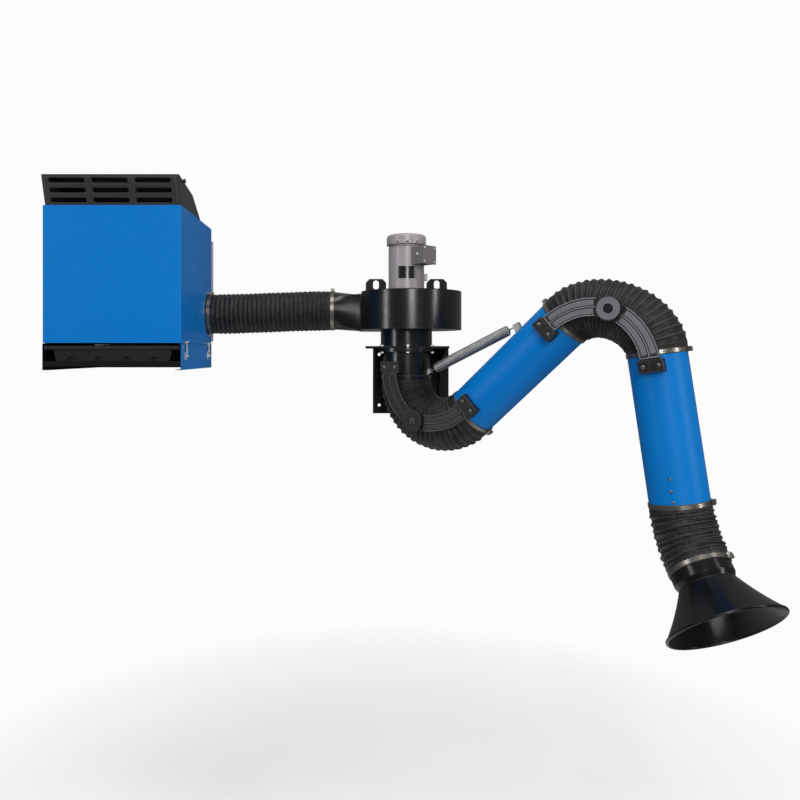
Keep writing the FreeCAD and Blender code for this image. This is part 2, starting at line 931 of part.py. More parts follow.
def make_bend_hose(label, start, direction, inner_side, turn, ribs, pull_share):
    """Hose over a link joint; its own weight pulls it inside the joint's arc, or outside over a share of 1."""
    cuff = float(S.hose_cuff)
    angle = math.radians(turn)
    radius = float(S.link_offset) + float(S.link_reach) / math.tan(angle / 2)
    end = start + (direction * math.sin(angle) + inner_side * (1 - math.cos(angle))) * radius
    last = direction * math.cos(angle) + inner_side * math.sin(angle)
    free = radius * angle
    pull = 4 * math.tan(angle / 4) * radius * pull_share
    path = cuffed_path(curve_between(start, direction, end, last, pull), free, cuff)
    bore = float(S.tube_radius + S.hose_bore_gap)
    hose = ribbed_tube(path, Y_AXIS, free + 2 * cuff, cuff, ribs, bore, float(S.hose_wall), float(S.hose_rib))
    return node(label, shaped(hose, arm_frame))


def make_duct_hose():
    """Nearly level hose from the blower's spigot to the cabinet's collar."""
    side = S.cabinet_width / 2 - S.cabinet_middle
    wall_distance = -float(S.duct_wall_distance)
    start = Vector(-float(S.transition_end + S.side_gap), wall_distance, float(outlet_height()))
    end = Vector(float(side + S.side_gap), wall_distance, float(S.duct_height_at_cabinet))
    length = start.x - end.x
    drop = end.z - start.z

    def path(distance):
        share = min(max(distance / length, 0), 1)
        ease = share * share * (3 - 2 * share)
        slope = drop / length * 6 * share * (1 - share)
        tangent = Vector(-1, 0, slope).normalize()
        return Vector(start.x - distance, start.y, start.z + drop * ease), tangent

    hose = ribbed_tube(path, Y_AXIS, length, float(S.hose_cuff), int(S.duct_ribs.value),
                       float(S.duct_radius + S.hose_bore_gap), float(S.duct_hose_wall), float(S.duct_rib))
    return node("duct_hose", shaped(hose, NO_PLACE))


def make_hood_hose():
    """Short pleated hose over the hood joint."""
    cuff = float(S.hose_cuff)
    start = lower_frame.multVec(Vector(float(S.lower_length), 0, 0))
    end = hood_frame.multVec(Vector(float(S.hood_neck_start), 0, 0))
    first = lower_frame.Rotation.multVec(X_AXIS)
    last = hood_frame.Rotation.multVec(X_AXIS)
    reference = lower_frame.Rotation.multVec(Y_AXIS)
    free = (end - start).Length
    pull = free * HOOD_HOSE_PULL_SHARE

    path = cuffed_path(curve_between(start, first, end, last, pull), free, cuff)
    hose = ribbed_tube(path, reference, free + 2 * cuff, cuff, HOOD_PLEATS,
                       float(S.tube_radius + S.hose_bore_gap), float(S.hose_wall), float(S.hose_rib))
    return node("hood_hose", shaped(hose, NO_PLACE))


NO_PLACE = Placement()


def clamp(frame, hose_radius, worm_turn):
    """Band clamp about the X axis of its frame, with its worm housing at the given turn."""
    inside = hose_radius + S.seat_gap
    outside = inside + S.clamp_thick
    turn = frame * about(Y_AXIS, 90)
    band = cut(cylinder(outside, S.clamp_width, turn),
               cylinder(inside, S.clamp_width + 2 * S.overrun, turn * at(z=-S.overrun)))
    place = frame * about(X_AXIS, worm_turn) * at((S.clamp_width - S.worm_width) / 2,
                                                  -S.worm_length / 2, inside + S.clamp_thick / 2)
    housing = block(S.worm_width, S.worm_length, S.worm_height, place)
    barrel = cylinder(S.worm_height / 2, S.worm_length + S.overrun,
                      place * at(S.worm_width / 2, -S.overrun, S.worm_height / 2) * about(X_AXIS, -90))
    return fused(band, housing, barrel)


def tube_end_clamp(frame, at_end, worm_turn):
    """Clamp on the hose's cuff at the far end of a tube, or at its start."""
    inset = S.clamp_inset + S.clamp_width
    place = at_end - inset if at_end is not None else S.clamp_inset
    return clamp(frame * at(x=place), S.tube_radius + S.hose_bore_gap + S.hose_wall, worm_turn)


# Counterbalance spring, wound as one unbroken wire

def biarc(start, start_way, end, end_way):
    """Two tangent arcs between two points with given directions."""
    chord = end - start
    ways = start_way + end_way
    spare = 2 * (1 - start_way.dot(end_way))
    reach = (math.sqrt(chord.dot(ways) ** 2 + spare * chord.dot(chord)) - chord.dot(ways)) / spare
    middle = (start + end + (start_way - end_way) * reach) / 2
    return [tangent_arc(start, start_way, middle), tangent_arc(end, -end_way, middle)]


def tangent_arc(start, way, end):
    chord = end - start
    unit = chord / chord.Length
    lift = way - unit * way.dot(unit)
    angle = way.getAngle(chord)
    top = (start + end) / 2 + lift / lift.Length * (chord.Length / 2 * math.tan(angle / 2))
    return Part.Arc(start, top, end).toShape()


def make_counter_spring():
    low = Vector(float(S.spring_low_reach), 0, float(S.spring_low_height))
    high = spring_top()
    axis = (high - low) / (high - low).Length
    side = Y_AXIS
    up = axis.cross(side)
    wire = float(S.spring_wire_radius)
    coil = float(S.spring_coil_radius)
    lead = float(S.spring_lead)
    gap = float(S.seat_gap)
    length = (high - low).Length - 2 * lead
    pitch = length / SPRING_TURNS
    straight = 2 * wire

    def coil_point(turns):
        angle = 2 * math.pi * turns
        round_part = side * (coil * math.cos(angle)) + up * (coil * math.sin(angle))
        return low + axis * (lead + pitch * turns) + round_part

    def coil_way(turns):
        angle = 2 * math.pi * turns
        way = (up * math.cos(angle) - side * math.sin(angle)) * (2 * math.pi * coil) + axis * pitch
        return way.normalize()

    bottom = low + axis * gap
    bottom_bend = low + axis * (gap + straight)
    top = high - axis * gap
    top_bend = high - axis * (gap + straight)
    edges = [Part.LineSegment(bottom, bottom_bend).toShape()]
    edges += biarc(bottom_bend, axis, coil_point(0), coil_way(0))
    quarters = 4 * SPRING_TURNS
    for number in range(quarters):
        before, after = number / 4, (number + 1) / 4
        edges += biarc(coil_point(before), coil_way(before), coil_point(after), coil_way(after))
    edges += biarc(coil_point(SPRING_TURNS), coil_way(SPRING_TURNS), top_bend, axis)
    edges.append(Part.LineSegment(top_bend, top).toShape())
    path = Part.Wire(Part.__sortEdges__(edges))
    section = ring(bottom, axis, side, wire)
    tube = Part.BRepOffsetAPI.MakePipeShell(path)
    tube.add(section)
    tube.build()
    tube.makeSolid()
    print(f"spring gap {least_coil_gap(coil_point, wire):.2f} mm, pitch {pitch:.2f} mm, "
          f"volume share {tube.shape().Volume / (math.pi * wire * wire * path.Length):.3f}")
    return node("counter_spring", shaped(tube.shape(), arm_frame))


def least_coil_gap(coil_point, wire):
    """Least gap between neighbouring turns, measured on points of the wire's middle line."""
    samples = 36
    count = samples * SPRING_TURNS
    points = [coil_point(number / samples) for number in range(count + 1)]
    gaps = []
    for number, point in enumerate(points):
        later = points[number + samples // 2:number + samples * 2]
        gaps += [(other - point).Length - 2 * wire for other in later]
    return min(gaps)


def spring_top():
    """Upper end of the spring's axis in the arm's plane."""
    return upper_start + along_upper * float(S.spring_high_along) + across_upper * float(S.spring_high_rise)


def make_spring_hooks():
    """Anchor blocks with a face square to the spring, seated on the tubes."""
    low = Vector(float(S.spring_low_reach), 0, float(S.spring_low_height))
    high = spring_top()
    angle = math.degrees(math.atan2(high.z - low.z, high.x - low.x))
    turn = Rotation(Y_AXIS, -angle)
    half = S.spring_block_width / 2
    low_place = arm_frame * Placement(low, turn) * at(-S.spring_block, -half, -half)
    low_block = block(S.spring_block, S.spring_block_width, S.spring_block_width, low_place)
    low_tube = cylinder(S.tube_radius + S.seat_gap, S.shelf_top - S.swivel_end,
                        at(y=-S.axis_wall, z=S.swivel_end))
    node("spring_hook_lower", cut(low_block, low_tube))
    high_place = arm_frame * Placement(high, turn) * at(0, -half, -S.spring_block_drop)
    high_block = block(S.spring_block, S.spring_block_width, S.spring_block_drop + half, high_place)
    high_tube = cylinder(S.tube_radius + S.seat_gap, S.upper_length, upper_frame * about(Y_AXIS, 90))
    node("spring_hook_upper", cut(high_block, high_tube))


# Hood joint and hood

def strap_face():
    """Distance of a strap's outer face from the middle of its tube."""
    return S.tube_radius - S.strap_inset


def make_strap(name, frame, role, near_side, start, bore):
    """Strap from the joint's pin at the frame's origin to a pad seated inside a tube at start."""
    body = new_body(name)
    half = S.strap_width / 2
    seat = bore - S.seat_gap
    pad_face = root_of(seat * seat - half * half)
    grip = start - S.strap_grip if float(start) > 0 else start + S.strap_grip
    strap = sketch_on(body, role, strap_face() - S.strap_thick if near_side else -strap_face())
    ends = [(start, -half), (0, -half, half), (0, half), (start, half)]
    if float(start) > 0:
        ends = [(0, -half), (start, -half), (start, half), (0, half, half)]
    draw(strap, ends)
    draw_circle(strap, 0, 0, S.gimbal_pin_radius + S.run_gap)
    pad(body, strap, S.strap_thick)
    spacer = sketch_on(body, role, strap_face() if near_side else -pad_face)
    low, high = sorted([start, grip], key=float)
    draw_rectangle(spacer, low, -half, high, half)
    pad(body, spacer, pad_face - strap_face())
    body.Placement = frame
    return body


def make_hood_yoke():
    joint = lower_frame * at(x=S.lower_length + S.yoke_drop)
    start = -S.yoke_drop - S.yoke_overlap
    bore = S.tube_radius - S.tube_wall
    straps = [make_strap("yoke_strap", joint, "XZ_Plane", side, start, bore) for side in (True, False)]
    return node("hood_yoke", group(*straps))


def make_hood_stirrup():
    start = S.hood_clamp_drop + S.stirrup_overlap
    bore = S.tube_radius - S.hood_wall
    straps = [make_strap("stirrup_strap", hood_frame, "XY_Plane", side, start, bore)
              for side in (True, False)]
    return node("hood_stirrup", group(*straps))


def make_gimbal_ring():
    turn = gimbal_frame * about(Y_AXIS, 90)
    low = turn * at(z=-S.gimbal_height / 2)
    band = cut(cylinder(S.gimbal_radius, S.gimbal_height, low),
               cylinder(S.gimbal_radius - S.gimbal_wall, S.gimbal_height + 2 * S.overrun,
                        low * at(z=-S.overrun)))
    pin_start = S.gimbal_radius - S.gimbal_wall / 2
    pin_length = strap_face() - pin_start
    pins = []
    for axis, angle in ((X_AXIS, 90), (X_AXIS, -90), (X_AXIS, 0), (X_AXIS, 180)):
        pins.append(cylinder(S.gimbal_pin_radius, pin_length,
                             gimbal_frame * about(axis, angle) * at(z=pin_start)))
    return node("gimbal_ring", fused(band, *pins))


def make_hood_shell():
    """Spun hood: neck for the hose, waist, flare and a rolled rim."""
    body = new_body("hood_shell")
    profile = sketch_on(body, "XZ_Plane")
    neck = S.tube_radius
    wall = S.hood_wall
    shoulder = S.hood_clamp_drop + S.clamp_width * 2
    bead = S.hood_bead_radius
    rim = S.hood_rim_drop - bead
    draw(profile, [
        (S.hood_neck_start, neck - wall),
        (shoulder, neck - wall),
        (S.hood_waist_drop, S.hood_waist_radius - wall, S.hood_flare_curve),
        (rim, S.hood_rim_radius - wall, bead),
        (rim, S.hood_rim_radius - wall + 2 * bead, bead),
        (rim - bead, S.hood_rim_radius - wall + bead, -S.hood_flare_curve),
        (S.hood_waist_drop, S.hood_waist_radius),
        (shoulder, neck),
        (S.hood_neck_start, neck),
    ])
    revolve(body, profile, "H_Axis")
    body.Placement = hood_frame
    return node("hood_shell", body)


# Blower

def scroll_outline(inset, end):
    """Four-arc scroll about the shaft, opening to the left along the wall; end is the outlet's mouth."""
    step = S.scroll_step / 2
    first = S.scroll_radius - inset
    second = first + S.scroll_step
    third = second + S.scroll_step
    tongue = first - S.scroll_step
    rear = step + third
    front = step + S.scroll_radius + 2 * S.scroll_step - S.outlet_width + inset
    lift = front + step
    return [
        (step - first, -step, first),
        (step, -step - first, second),
        (step + second, step, third),
        (-step, rear),
        (-end, rear),
        (-end, front),
        (-step - root_of(tongue * tongue - lift * lift), front, tongue),
    ]


def make_scroll():
    wrapper = new_body("scroll_wrapper")
    low = S.scroll_bottom + S.scroll_wall
    height = S.scroll_height - 2 * S.scroll_wall
    outside = sketch_on(wrapper, "XY_Plane", low)
    draw(outside, scroll_outline(as_size(0), S.outlet_reach))
    pad(wrapper, outside, height)
    inside = sketch_on(wrapper, "XY_Plane", low - S.overrun)
    draw(inside, scroll_outline(S.scroll_wall, S.outlet_reach + S.overrun))
    pocket(wrapper, inside, height + 2 * S.overrun, True)
    wrapper.Placement = at(y=-S.axis_wall)
    node("scroll_wrapper", wrapper)
    for label, base, hole in (
            ("scroll_bottom_plate", S.scroll_bottom, S.inlet_radius),
            ("scroll_top_plate", S.scroll_bottom + S.scroll_height - S.scroll_wall,
             S.shaft_radius + S.hub_radius)):
        plate = new_body(label)
        face = sketch_on(plate, "XY_Plane", base)
        draw(face, scroll_outline(as_size(0), S.outlet_reach))
        draw_circle(face, 0, 0, hole)
        pad(plate, face, S.scroll_wall)
        plate.Placement = at(y=-S.axis_wall)
        node(label, plate)


def outlet_height():
    return S.scroll_bottom + S.scroll_height / 2 + S.outlet_rise


def make_outlet_transition():
    """Square-to-round duct with a spigot for the hose."""
    rear = S.scroll_step / 2 + S.scroll_radius + 2 * S.scroll_step - S.axis_wall
    front = rear - S.outlet_width
    top = S.scroll_bottom + S.scroll_height

    def mouth(inset, x):
        corners = [(rear - inset, top - inset), (front + inset, top - inset),
                   (front + inset, S.scroll_bottom + inset), (rear - inset, S.scroll_bottom + inset)]
        points = [Vector(-float(x), float(y), float(z)) for y, z in corners]
        return Part.makePolygon(points + points[:1])

    def throat(radius, x):
        centre = Vector(-float(x), -float(S.duct_wall_distance), float(outlet_height()))
        points = []
        for number in range(2 * THROAT_ARCS):
            angle = math.pi * (number + 1) / THROAT_ARCS
            points.append(centre + Vector(0, math.cos(angle), math.sin(angle)) * float(radius))
        arcs = [Part.Arc(points[place], points[place + 1], points[place + 2 - len(points)]).toShape()
                for place in range(0, len(points), 2)]
        return Part.Wire(arcs)

    spigot = S.transition_end + S.spigot_length
    bore = S.duct_radius - S.scroll_wall
    outer = Part.makeLoft([mouth(as_size(0), S.outlet_reach), throat(S.duct_radius, S.transition_end),
                           throat(S.duct_radius, spigot)], True, True)
    inner = Part.makeLoft([mouth(S.scroll_wall, S.outlet_reach), throat(bore, S.transition_end),
                           throat(bore, spigot)], True, True)
    return node("outlet_transition", shaped(outer.cut(inner), NO_PLACE))


def make_neck_duct():
    """Short round duct between the shelf and the blower's inlet."""
    body = new_body("neck_duct")
    profile = sketch_on(body, "XZ_Plane")
    inner = S.neck_radius - S.neck_wall
    draw_rectangle(profile, inner, S.shelf_top, S.neck_radius, S.scroll_bottom)
    revolve(body, profile)
    body.Placement = at(y=-S.axis_wall)
    return node("neck_duct", body)


def make_lifting_lugs():
    """Two plate lugs with long eyes on the blower's top."""
    top = S.scroll_bottom + S.scroll_height
    lugs = []
    for side in (-1, 1):
        body = new_body("lug")
        face = sketch_on(body, "XZ_Plane", -S.lug_thick / 2)
        half = S.lug_width / 2
        draw(face, [
            (-half, 0),
            (half, 0),
            (half, S.lug_height - S.lug_chamfer),
            (half - S.lug_chamfer, S.lug_height),
            (S.lug_chamfer - half, S.lug_height),
            (-half, S.lug_height - S.lug_chamfer),
        ])
        eye_low = S.lug_eye_height - S.lug_eye_length / 2
        eye_high = S.lug_eye_height + S.lug_eye_length / 2
        eye = S.lug_eye_radius
        draw(face, [(eye, eye_low), (eye, eye_high, eye), (-eye, eye_high), (-eye, eye_low, eye)])
        pad(body, face, S.lug_thick)
        body.Placement = at(side * S.lug_spread, -S.axis_wall, top)
        lugs.append(body)
    return node("lifting_lugs", group(*lugs))


def make_impeller():
    """Centrifugal wheel: back plate with hub, curved blades and a shroud ring round the eye."""
    body = new_body("impeller")
    top = S.scroll_bottom + S.scroll_height - S.impeller_drop
    back = top - S.impeller_plate
    low = top - S.impeller_height
    profile = sketch_on(body, "XZ_Plane")
    bore = S.shaft_radius
    draw(profile, [
        (bore, top - S.hub_height),
        (S.hub_radius, top - S.hub_height),
        (S.hub_radius, back),
        (S.impeller_radius, back),
        (S.impeller_radius, top),
        (bore, top),
    ])
    revolve(body, profile)
    shroud = sketch_on(body, "XZ_Plane")
    draw(shroud, [
        (S.impeller_eye, low),
        (S.impeller_radius, low),
        (S.impeller_radius, low + S.impeller_plate),
        (S.impeller_eye, low + S.impeller_plate),
    ])
    blade = sketch_on(body, "XY_Plane", low + S.impeller_plate / 2)
    thick = S.blade_thick
    root = S.impeller_eye + 2 * thick
    tip = S.impeller_radius - thick
    tip_across = tip * cosine(S.blade_sweep)
    tip_up = tip * sine(S.blade_sweep)
    draw(blade, [
        (root, 0, S.blade_curve),
        (tip_across, tip_up),
        (tip_across - thick, tip_up, -S.blade_curve),
        (root - thick, 0),
    ])
    first = pad(body, blade, S.impeller_height - S.impeller_plate)
    repeat_round(body, first, S.impeller_blades)
    revolve(body, shroud)
    body.Placement = at(y=-S.axis_wall)
    return node("impeller", body)


def make_motor_shaft():
    top = S.scroll_bottom + S.scroll_height
    low = top - S.impeller_drop - S.hub_height
    length = top + S.shaft_grip - S.side_gap - low
    return node("motor_shaft", cylinder(S.shaft_radius, length, at(y=-S.axis_wall, z=low)))


# Motor

def make_motor_frame():
    body = new_body("motor_frame")
    base = S.scroll_bottom + S.scroll_height
    top = base + S.motor_height
    shoulder = top - S.motor_neck
    bore = S.shaft_radius + S.run_gap
    profile = sketch_on(body, "XZ_Plane")
    draw(profile, [
        (bore, base),
        (S.motor_radius, base),
        (S.motor_radius, shoulder - S.motor_edge),
        (S.motor_neck_radius, shoulder),
        (S.motor_neck_radius, top),
        (0, top),
        (0, base + S.shaft_grip),
        (bore, base + S.shaft_grip),
    ])
    revolve(body, profile)
    body.Placement = at(y=-S.axis_wall)
    return node("motor_frame", body)


def make_motor_fan_cover():
    """Domed cover with air notches along its lower edge."""
    body = new_body("motor_fan_cover")
    base = S.scroll_bottom + S.scroll_height + S.motor_height
    top = base + S.fan_cover_height
    edge = S.fan_cover_round
    wall = S.fan_cover_wall
    outside = S.fan_cover_radius
    profile = sketch_on(body, "XZ_Plane")
    draw(profile, [
        (S.fan_cover_seat, base),
        (outside, base),
        (outside, top - edge, edge),
        (outside - edge, top),
        (0, top),
        (0, top - wall),
        (outside - edge, top - wall, wall - edge),
        (outside - wall, top - edge),
        (outside - wall, base + wall),
        (S.fan_cover_seat, base + wall),
    ])
    revolve(body, profile)
    vent = sketch_on(body, "YZ_Plane", outside + S.overrun)
    draw_rectangle(vent, -S.fan_vent_width / 2, base + wall, S.fan_vent_width / 2,
                   base + wall + S.fan_vent_height)
    first = pocket(body, vent, S.overrun + 2 * wall)
    repeat_round(body, first, S.fan_vents)
    body.Placement = at(y=-S.axis_wall)
    return node("motor_fan_cover", body)


def motor_side(azimuth):
    """Frame on the motor's axis with X pointing outwards at the azimuth."""
    base = S.scroll_bottom + S.scroll_height
    return at(y=-S.axis_wall, z=base, turn=Rotation(Z_AXIS, float(azimuth)))


def motor_skin():
    return cylinder(S.motor_radius + S.seat_gap, S.motor_height,
                    at(y=-S.axis_wall, z=S.scroll_bottom + S.scroll_height))


def make_terminal_box():
    frame = motor_side(-S.terminal_azimuth)
    half = S.terminal_width / 2
    place = frame * at(S.terminal_root, -half, S.terminal_base)
    case = block(S.terminal_out - S.terminal_root, S.terminal_width, S.terminal_height, place)
    node("terminal_box", cut(case, motor_skin()))
    lid = new_body("terminal_cover")
    lip = S.terminal_lip
    face = sketch_on(lid, "YZ_Plane", S.terminal_out)
    draw_rectangle(face, -half - lip, S.terminal_base - lip, half + lip,
                   S.terminal_base + S.terminal_height + lip)
    pad(lid, face, S.terminal_lid)
    soften(lid, S.terminal_lid, lambda edge: straight_along(edge, X_AXIS))
    lid.Placement = frame
    node("terminal_cover", lid)


def make_motor_side_block():
    half = S.side_block_width / 2
    place = motor_side(0) * at(S.terminal_root, -half, S.side_block_base)
    lump = block(S.side_block_out - S.terminal_root, S.side_block_width, S.side_block_height, place)
    return node("motor_side_block", cut(lump, motor_skin()))


# Filter cabinet

def cabinet_frame():
    return at(x=-S.cabinet_middle)


def make_cabinet_cover():
    """Blue sheet cover: front, sides and top, open at the back and below."""
    body = new_body("cabinet_cover")
    half = S.cabinet_width / 2
    top = S.cover_bottom + S.cover_height
    shell = sketch_on(body, "XY_Plane", S.cover_bottom)
    draw_rectangle(shell, -half, -S.cabinet_front, half, -S.cabinet_back)
    pad(body, shell, S.cover_height)
    soften(body, S.cover_edge, lambda edge: straight_along(edge, Z_AXIS)
           and near(edge.CenterOfMass.y, -S.cabinet_front))
    inside = sketch_on(body, "XY_Plane", S.cover_bottom - S.overrun)
    draw_rectangle(inside, S.sheet - half, S.sheet - S.cabinet_front, half - S.sheet,
                   S.overrun - S.cabinet_back)
    pocket(body, inside, S.cover_height + S.overrun - S.sheet, True)
    vent = sketch_on(body, "XY_Plane", top + S.overrun)
    front = S.vent_front - S.cabinet_front
    draw_rectangle(vent, -S.vent_width / 2, front, S.vent_width / 2, front + S.vent_depth)
    pocket(body, vent, S.overrun + 2 * S.sheet)
    notch = sketch_on(body, "YZ_Plane", half + S.overrun)
    middle = S.duct_height_at_cabinet
    draw(notch, [
        (S.overrun - S.cabinet_back, middle - S.notch_radius),
        (S.overrun - S.cabinet_back, middle + S.notch_radius),
        (-S.duct_wall_distance, middle + S.notch_radius, S.notch_radius),
        (-S.duct_wall_distance, middle - S.notch_radius),
    ])
    pocket(body, notch, S.overrun + 2 * S.sheet)
    body.Placement = cabinet_frame()
    return node("cabinet_cover", body)


def make_rear_plenum():
    """Box against the wall rails that takes the duct's air to the filter."""
    body = new_body("rear_plenum")
    half = S.cabinet_width / 2 - S.sheet
    box_face = sketch_on(body, "XZ_Plane", S.plenum_back)
    top = S.plenum_bottom + S.plenum_height
    draw_rectangle(box_face, -half, S.plenum_bottom, half, top)
    pad(body, box_face, S.plenum_depth)
    hollow = sketch_on(body, "XZ_Plane", S.plenum_back + S.sheet)
    draw_rectangle(hollow, S.sheet - half, S.plenum_bottom + S.sheet, half - S.sheet, top - S.sheet)
    pocket(body, hollow, S.plenum_depth, True)
    hole = sketch_on(body, "YZ_Plane", half + S.overrun)
    draw_circle(hole, -S.duct_wall_distance, S.duct_height_at_cabinet, S.duct_radius - S.collar_wall)
    pocket(body, hole, S.overrun + 2 * S.sheet)
    body.Placement = cabinet_frame()
    return node("rear_plenum", body)


def make_inlet_collar():
    """Flanged spigot on the plenum's right side."""
    body = new_body("inlet_collar")
    profile = sketch_on(body, "XZ_Plane")
    inner = S.duct_radius - S.collar_wall
    draw(profile, [
        (0, inner),
        (S.collar_length, inner),
        (S.collar_length, S.duct_radius),
        (S.sheet, S.duct_radius),
        (S.sheet, S.collar_flange),
        (0, S.collar_flange),
    ])
    revolve(body, profile, "H_Axis")
    side = S.cabinet_width / 2 - S.sheet - S.cabinet_middle
    body.Placement = at(side, -S.duct_wall_distance, S.duct_height_at_cabinet)
    return node("inlet_collar", body)


def rail_base(upper):
    """Lower edge of a wall rail: half of it lies behind the plenum, half carries the bolts."""
    if upper:
        return S.plenum_bottom + S.plenum_height - S.rail_overlap
    return S.plenum_bottom + S.rail_overlap - S.rail_height


def make_wall_rails():
    rails = []
    for upper in (True, False):
        body = new_body("rail")
        low = rail_base(upper)
        face = sketch_on(body, "XZ_Plane")
        draw_rectangle(face, -S.rail_length / 2, low, S.rail_length / 2, low + S.rail_height)
        hole = low + S.rail_height - S.rail_hole_edge if upper else low + S.rail_hole_edge
        for across in (-S.rail_hole_span / 2, S.rail_hole_span / 2):
            draw_circle(face, across, hole, S.rail_hole_radius)
        pad(body, face, S.plenum_back)
        body.Placement = cabinet_frame()
        rails.append(body)
    return node("wall_rails", group(*rails))


def make_filter_cartridge():
    """Pleated filter in a frame that seals on the plenum's front edge."""
    low = S.plenum_bottom + (S.plenum_height - S.filter_height) / 2
    face = S.plenum_back + S.plenum_depth
    half = (S.cabinet_width - S.filter_play) / 2
    frame = new_body("filter_frame")
    outline = sketch_on(frame, "XZ_Plane", face)
    draw_rectangle(outline, -half, low, half, low + S.filter_height)
    inner = half - S.filter_frame
    draw_rectangle(outline, -inner, low + S.filter_frame, inner, low + S.filter_height - S.filter_frame)
    pad(frame, outline, S.filter_depth)
    frame.Placement = cabinet_frame()
    media = new_body("filter_media")
    pleats = int(S.filter_pleats.value)
    step = 2 * inner / (2 * pleats)
    fold = sketch_on(media, "XY_Plane", low + S.filter_frame)
    deep = -face - S.filter_depth + S.filter_paper
    shallow = -face - 2 * S.filter_paper
    front_line = []
    for number in range(2 * pleats + 1):
        depth = deep if number % 2 else shallow
        front_line.append((step * number - inner, depth))
    back_line = [(x, depth + S.filter_paper) for x, depth in reversed(front_line)]
    draw(fold, front_line + back_line)
    pad(media, fold, S.filter_height - 2 * S.filter_frame)
    media.Placement = cabinet_frame()
    return node("filter_cartridge", group(frame, media))


def make_exhaust_grille():
    """Moulded outlet hood whose leaning front has rows of long slots in sunken frames."""
    body = new_body("exhaust_grille")
    lean = S.grille_lean
    half = S.cabinet_width / 2 - S.grille_inset

    def leaned(back, up):
        return back * cosine(lean) + up * sine(lean), up * cosine(lean) - back * sine(lean)

    top_front = (as_size(0), S.grille_height / cosine(lean))
    knee = leaned(S.grille_knee_back, S.grille_knee_height)
    tail = leaned(S.grille_back, as_size(0))
    side = sketch_on(body, "YZ_Plane", -half)
    draw(side, [(0, 0), tail, knee, top_front])
    pad(body, side, 2 * half)
    soften(body, S.grille_round, lambda edge: edge.CenterOfMass.z > float(S.grille_wall)
           and (straight_along(edge, X_AXIS) or near(edge.CenterOfMass.y, 0))
           and edge.CenterOfMass.y < float(knee[0]) / 2)
    wall = S.grille_wall
    inside = sketch_on(body, "YZ_Plane", wall - half)
    under = leaned(S.grille_back - 2 * wall, -S.overrun)
    under_front = leaned(wall, -S.overrun)
    draw(inside, [
        (wall, under_front[1]),
        under,
        (knee[0] - wall / 2, knee[1] - wall),
        (wall, top_front[1] - wall),
    ])
    pocket(body, inside, 2 * (half - wall), True)
    for grow, depth in ((S.slot_frame, S.slot_sink), (as_size(0), 2 * wall)):
        cuts = sketch_on(body, "XZ_Plane", S.overrun)
        radius = S.slot_height / 2 + grow / 2
        for column in range(SLOT_COLUMNS):
            across = (column - (SLOT_COLUMNS - 1) / 2) * S.slot_pitch
            for row in range(SLOT_ROWS):
                up = S.slot_base + row * S.slot_rise
                draw_slot(cuts, across, up, S.slot_length - S.slot_height, radius)
        pocket(body, cuts, S.overrun + depth)
    body.Placement = (cabinet_frame() * at(y=S.grille_inset - S.cabinet_front,
                                           z=S.cover_bottom + S.cover_height)
                      * about(X_AXIS, lean))
    return node("exhaust_grille", body)


# Tray housing and dust tray

def make_tray_skirt():
    """Sheet housing under the cover: three walls, the tray floor with its lip, and feet."""
    body = new_body("tray_skirt")
    half = S.cabinet_width / 2
    inner = half - S.sheet
    front = -S.cabinet_front
    back = -S.cabinet_back
    top = S.cover_bottom - S.skirt_seam
    walls = sketch_on(body, "XY_Plane", S.skirt_bottom)
    draw(walls, [
        (-half, front), (-inner, front), (-inner, back - S.sheet), (inner, back - S.sheet),
        (inner, front), (half, front), (half, back), (-half, back),
    ])
    pad(body, walls, top - S.skirt_bottom)
    floor = sketch_on(body, "XY_Plane", S.floor_top - S.sheet)
    draw_rectangle(floor, -inner - S.sheet / 2, front, inner + S.sheet / 2, back - S.sheet / 2)
    pad(body, floor, S.sheet)
    lip = sketch_on(body, "XZ_Plane", S.cabinet_front)
    draw_rectangle(lip, -inner - S.sheet / 2, S.floor_top - S.floor_lip, inner + S.sheet / 2,
                   S.floor_top - S.sheet / 2)
    pad(body, lip, S.sheet, True)
    feet = sketch_on(body, "XY_Plane", S.skirt_bottom)
    for side in (-1, 1):
        edges = sorted([side * (inner - S.skirt_foot), side * (inner + S.sheet / 2)], key=float)
        draw_rectangle(feet, edges[0], front, edges[1], back - S.sheet / 2)
    pad(body, feet, S.sheet)
    upstand = sketch_on(body, "XY_Plane", top - S.skirt_lap)
    for side in (-1, 1):
        edges = sorted([side * (inner - S.sheet), side * inner], key=float)
        draw_rectangle(upstand, edges[0], front + S.skirt_foot, edges[1], back - S.skirt_foot)
    pad(body, upstand, S.skirt_lap + S.skirt_upstand)
    body.Placement = cabinet_frame()
    return node("tray_skirt", body)


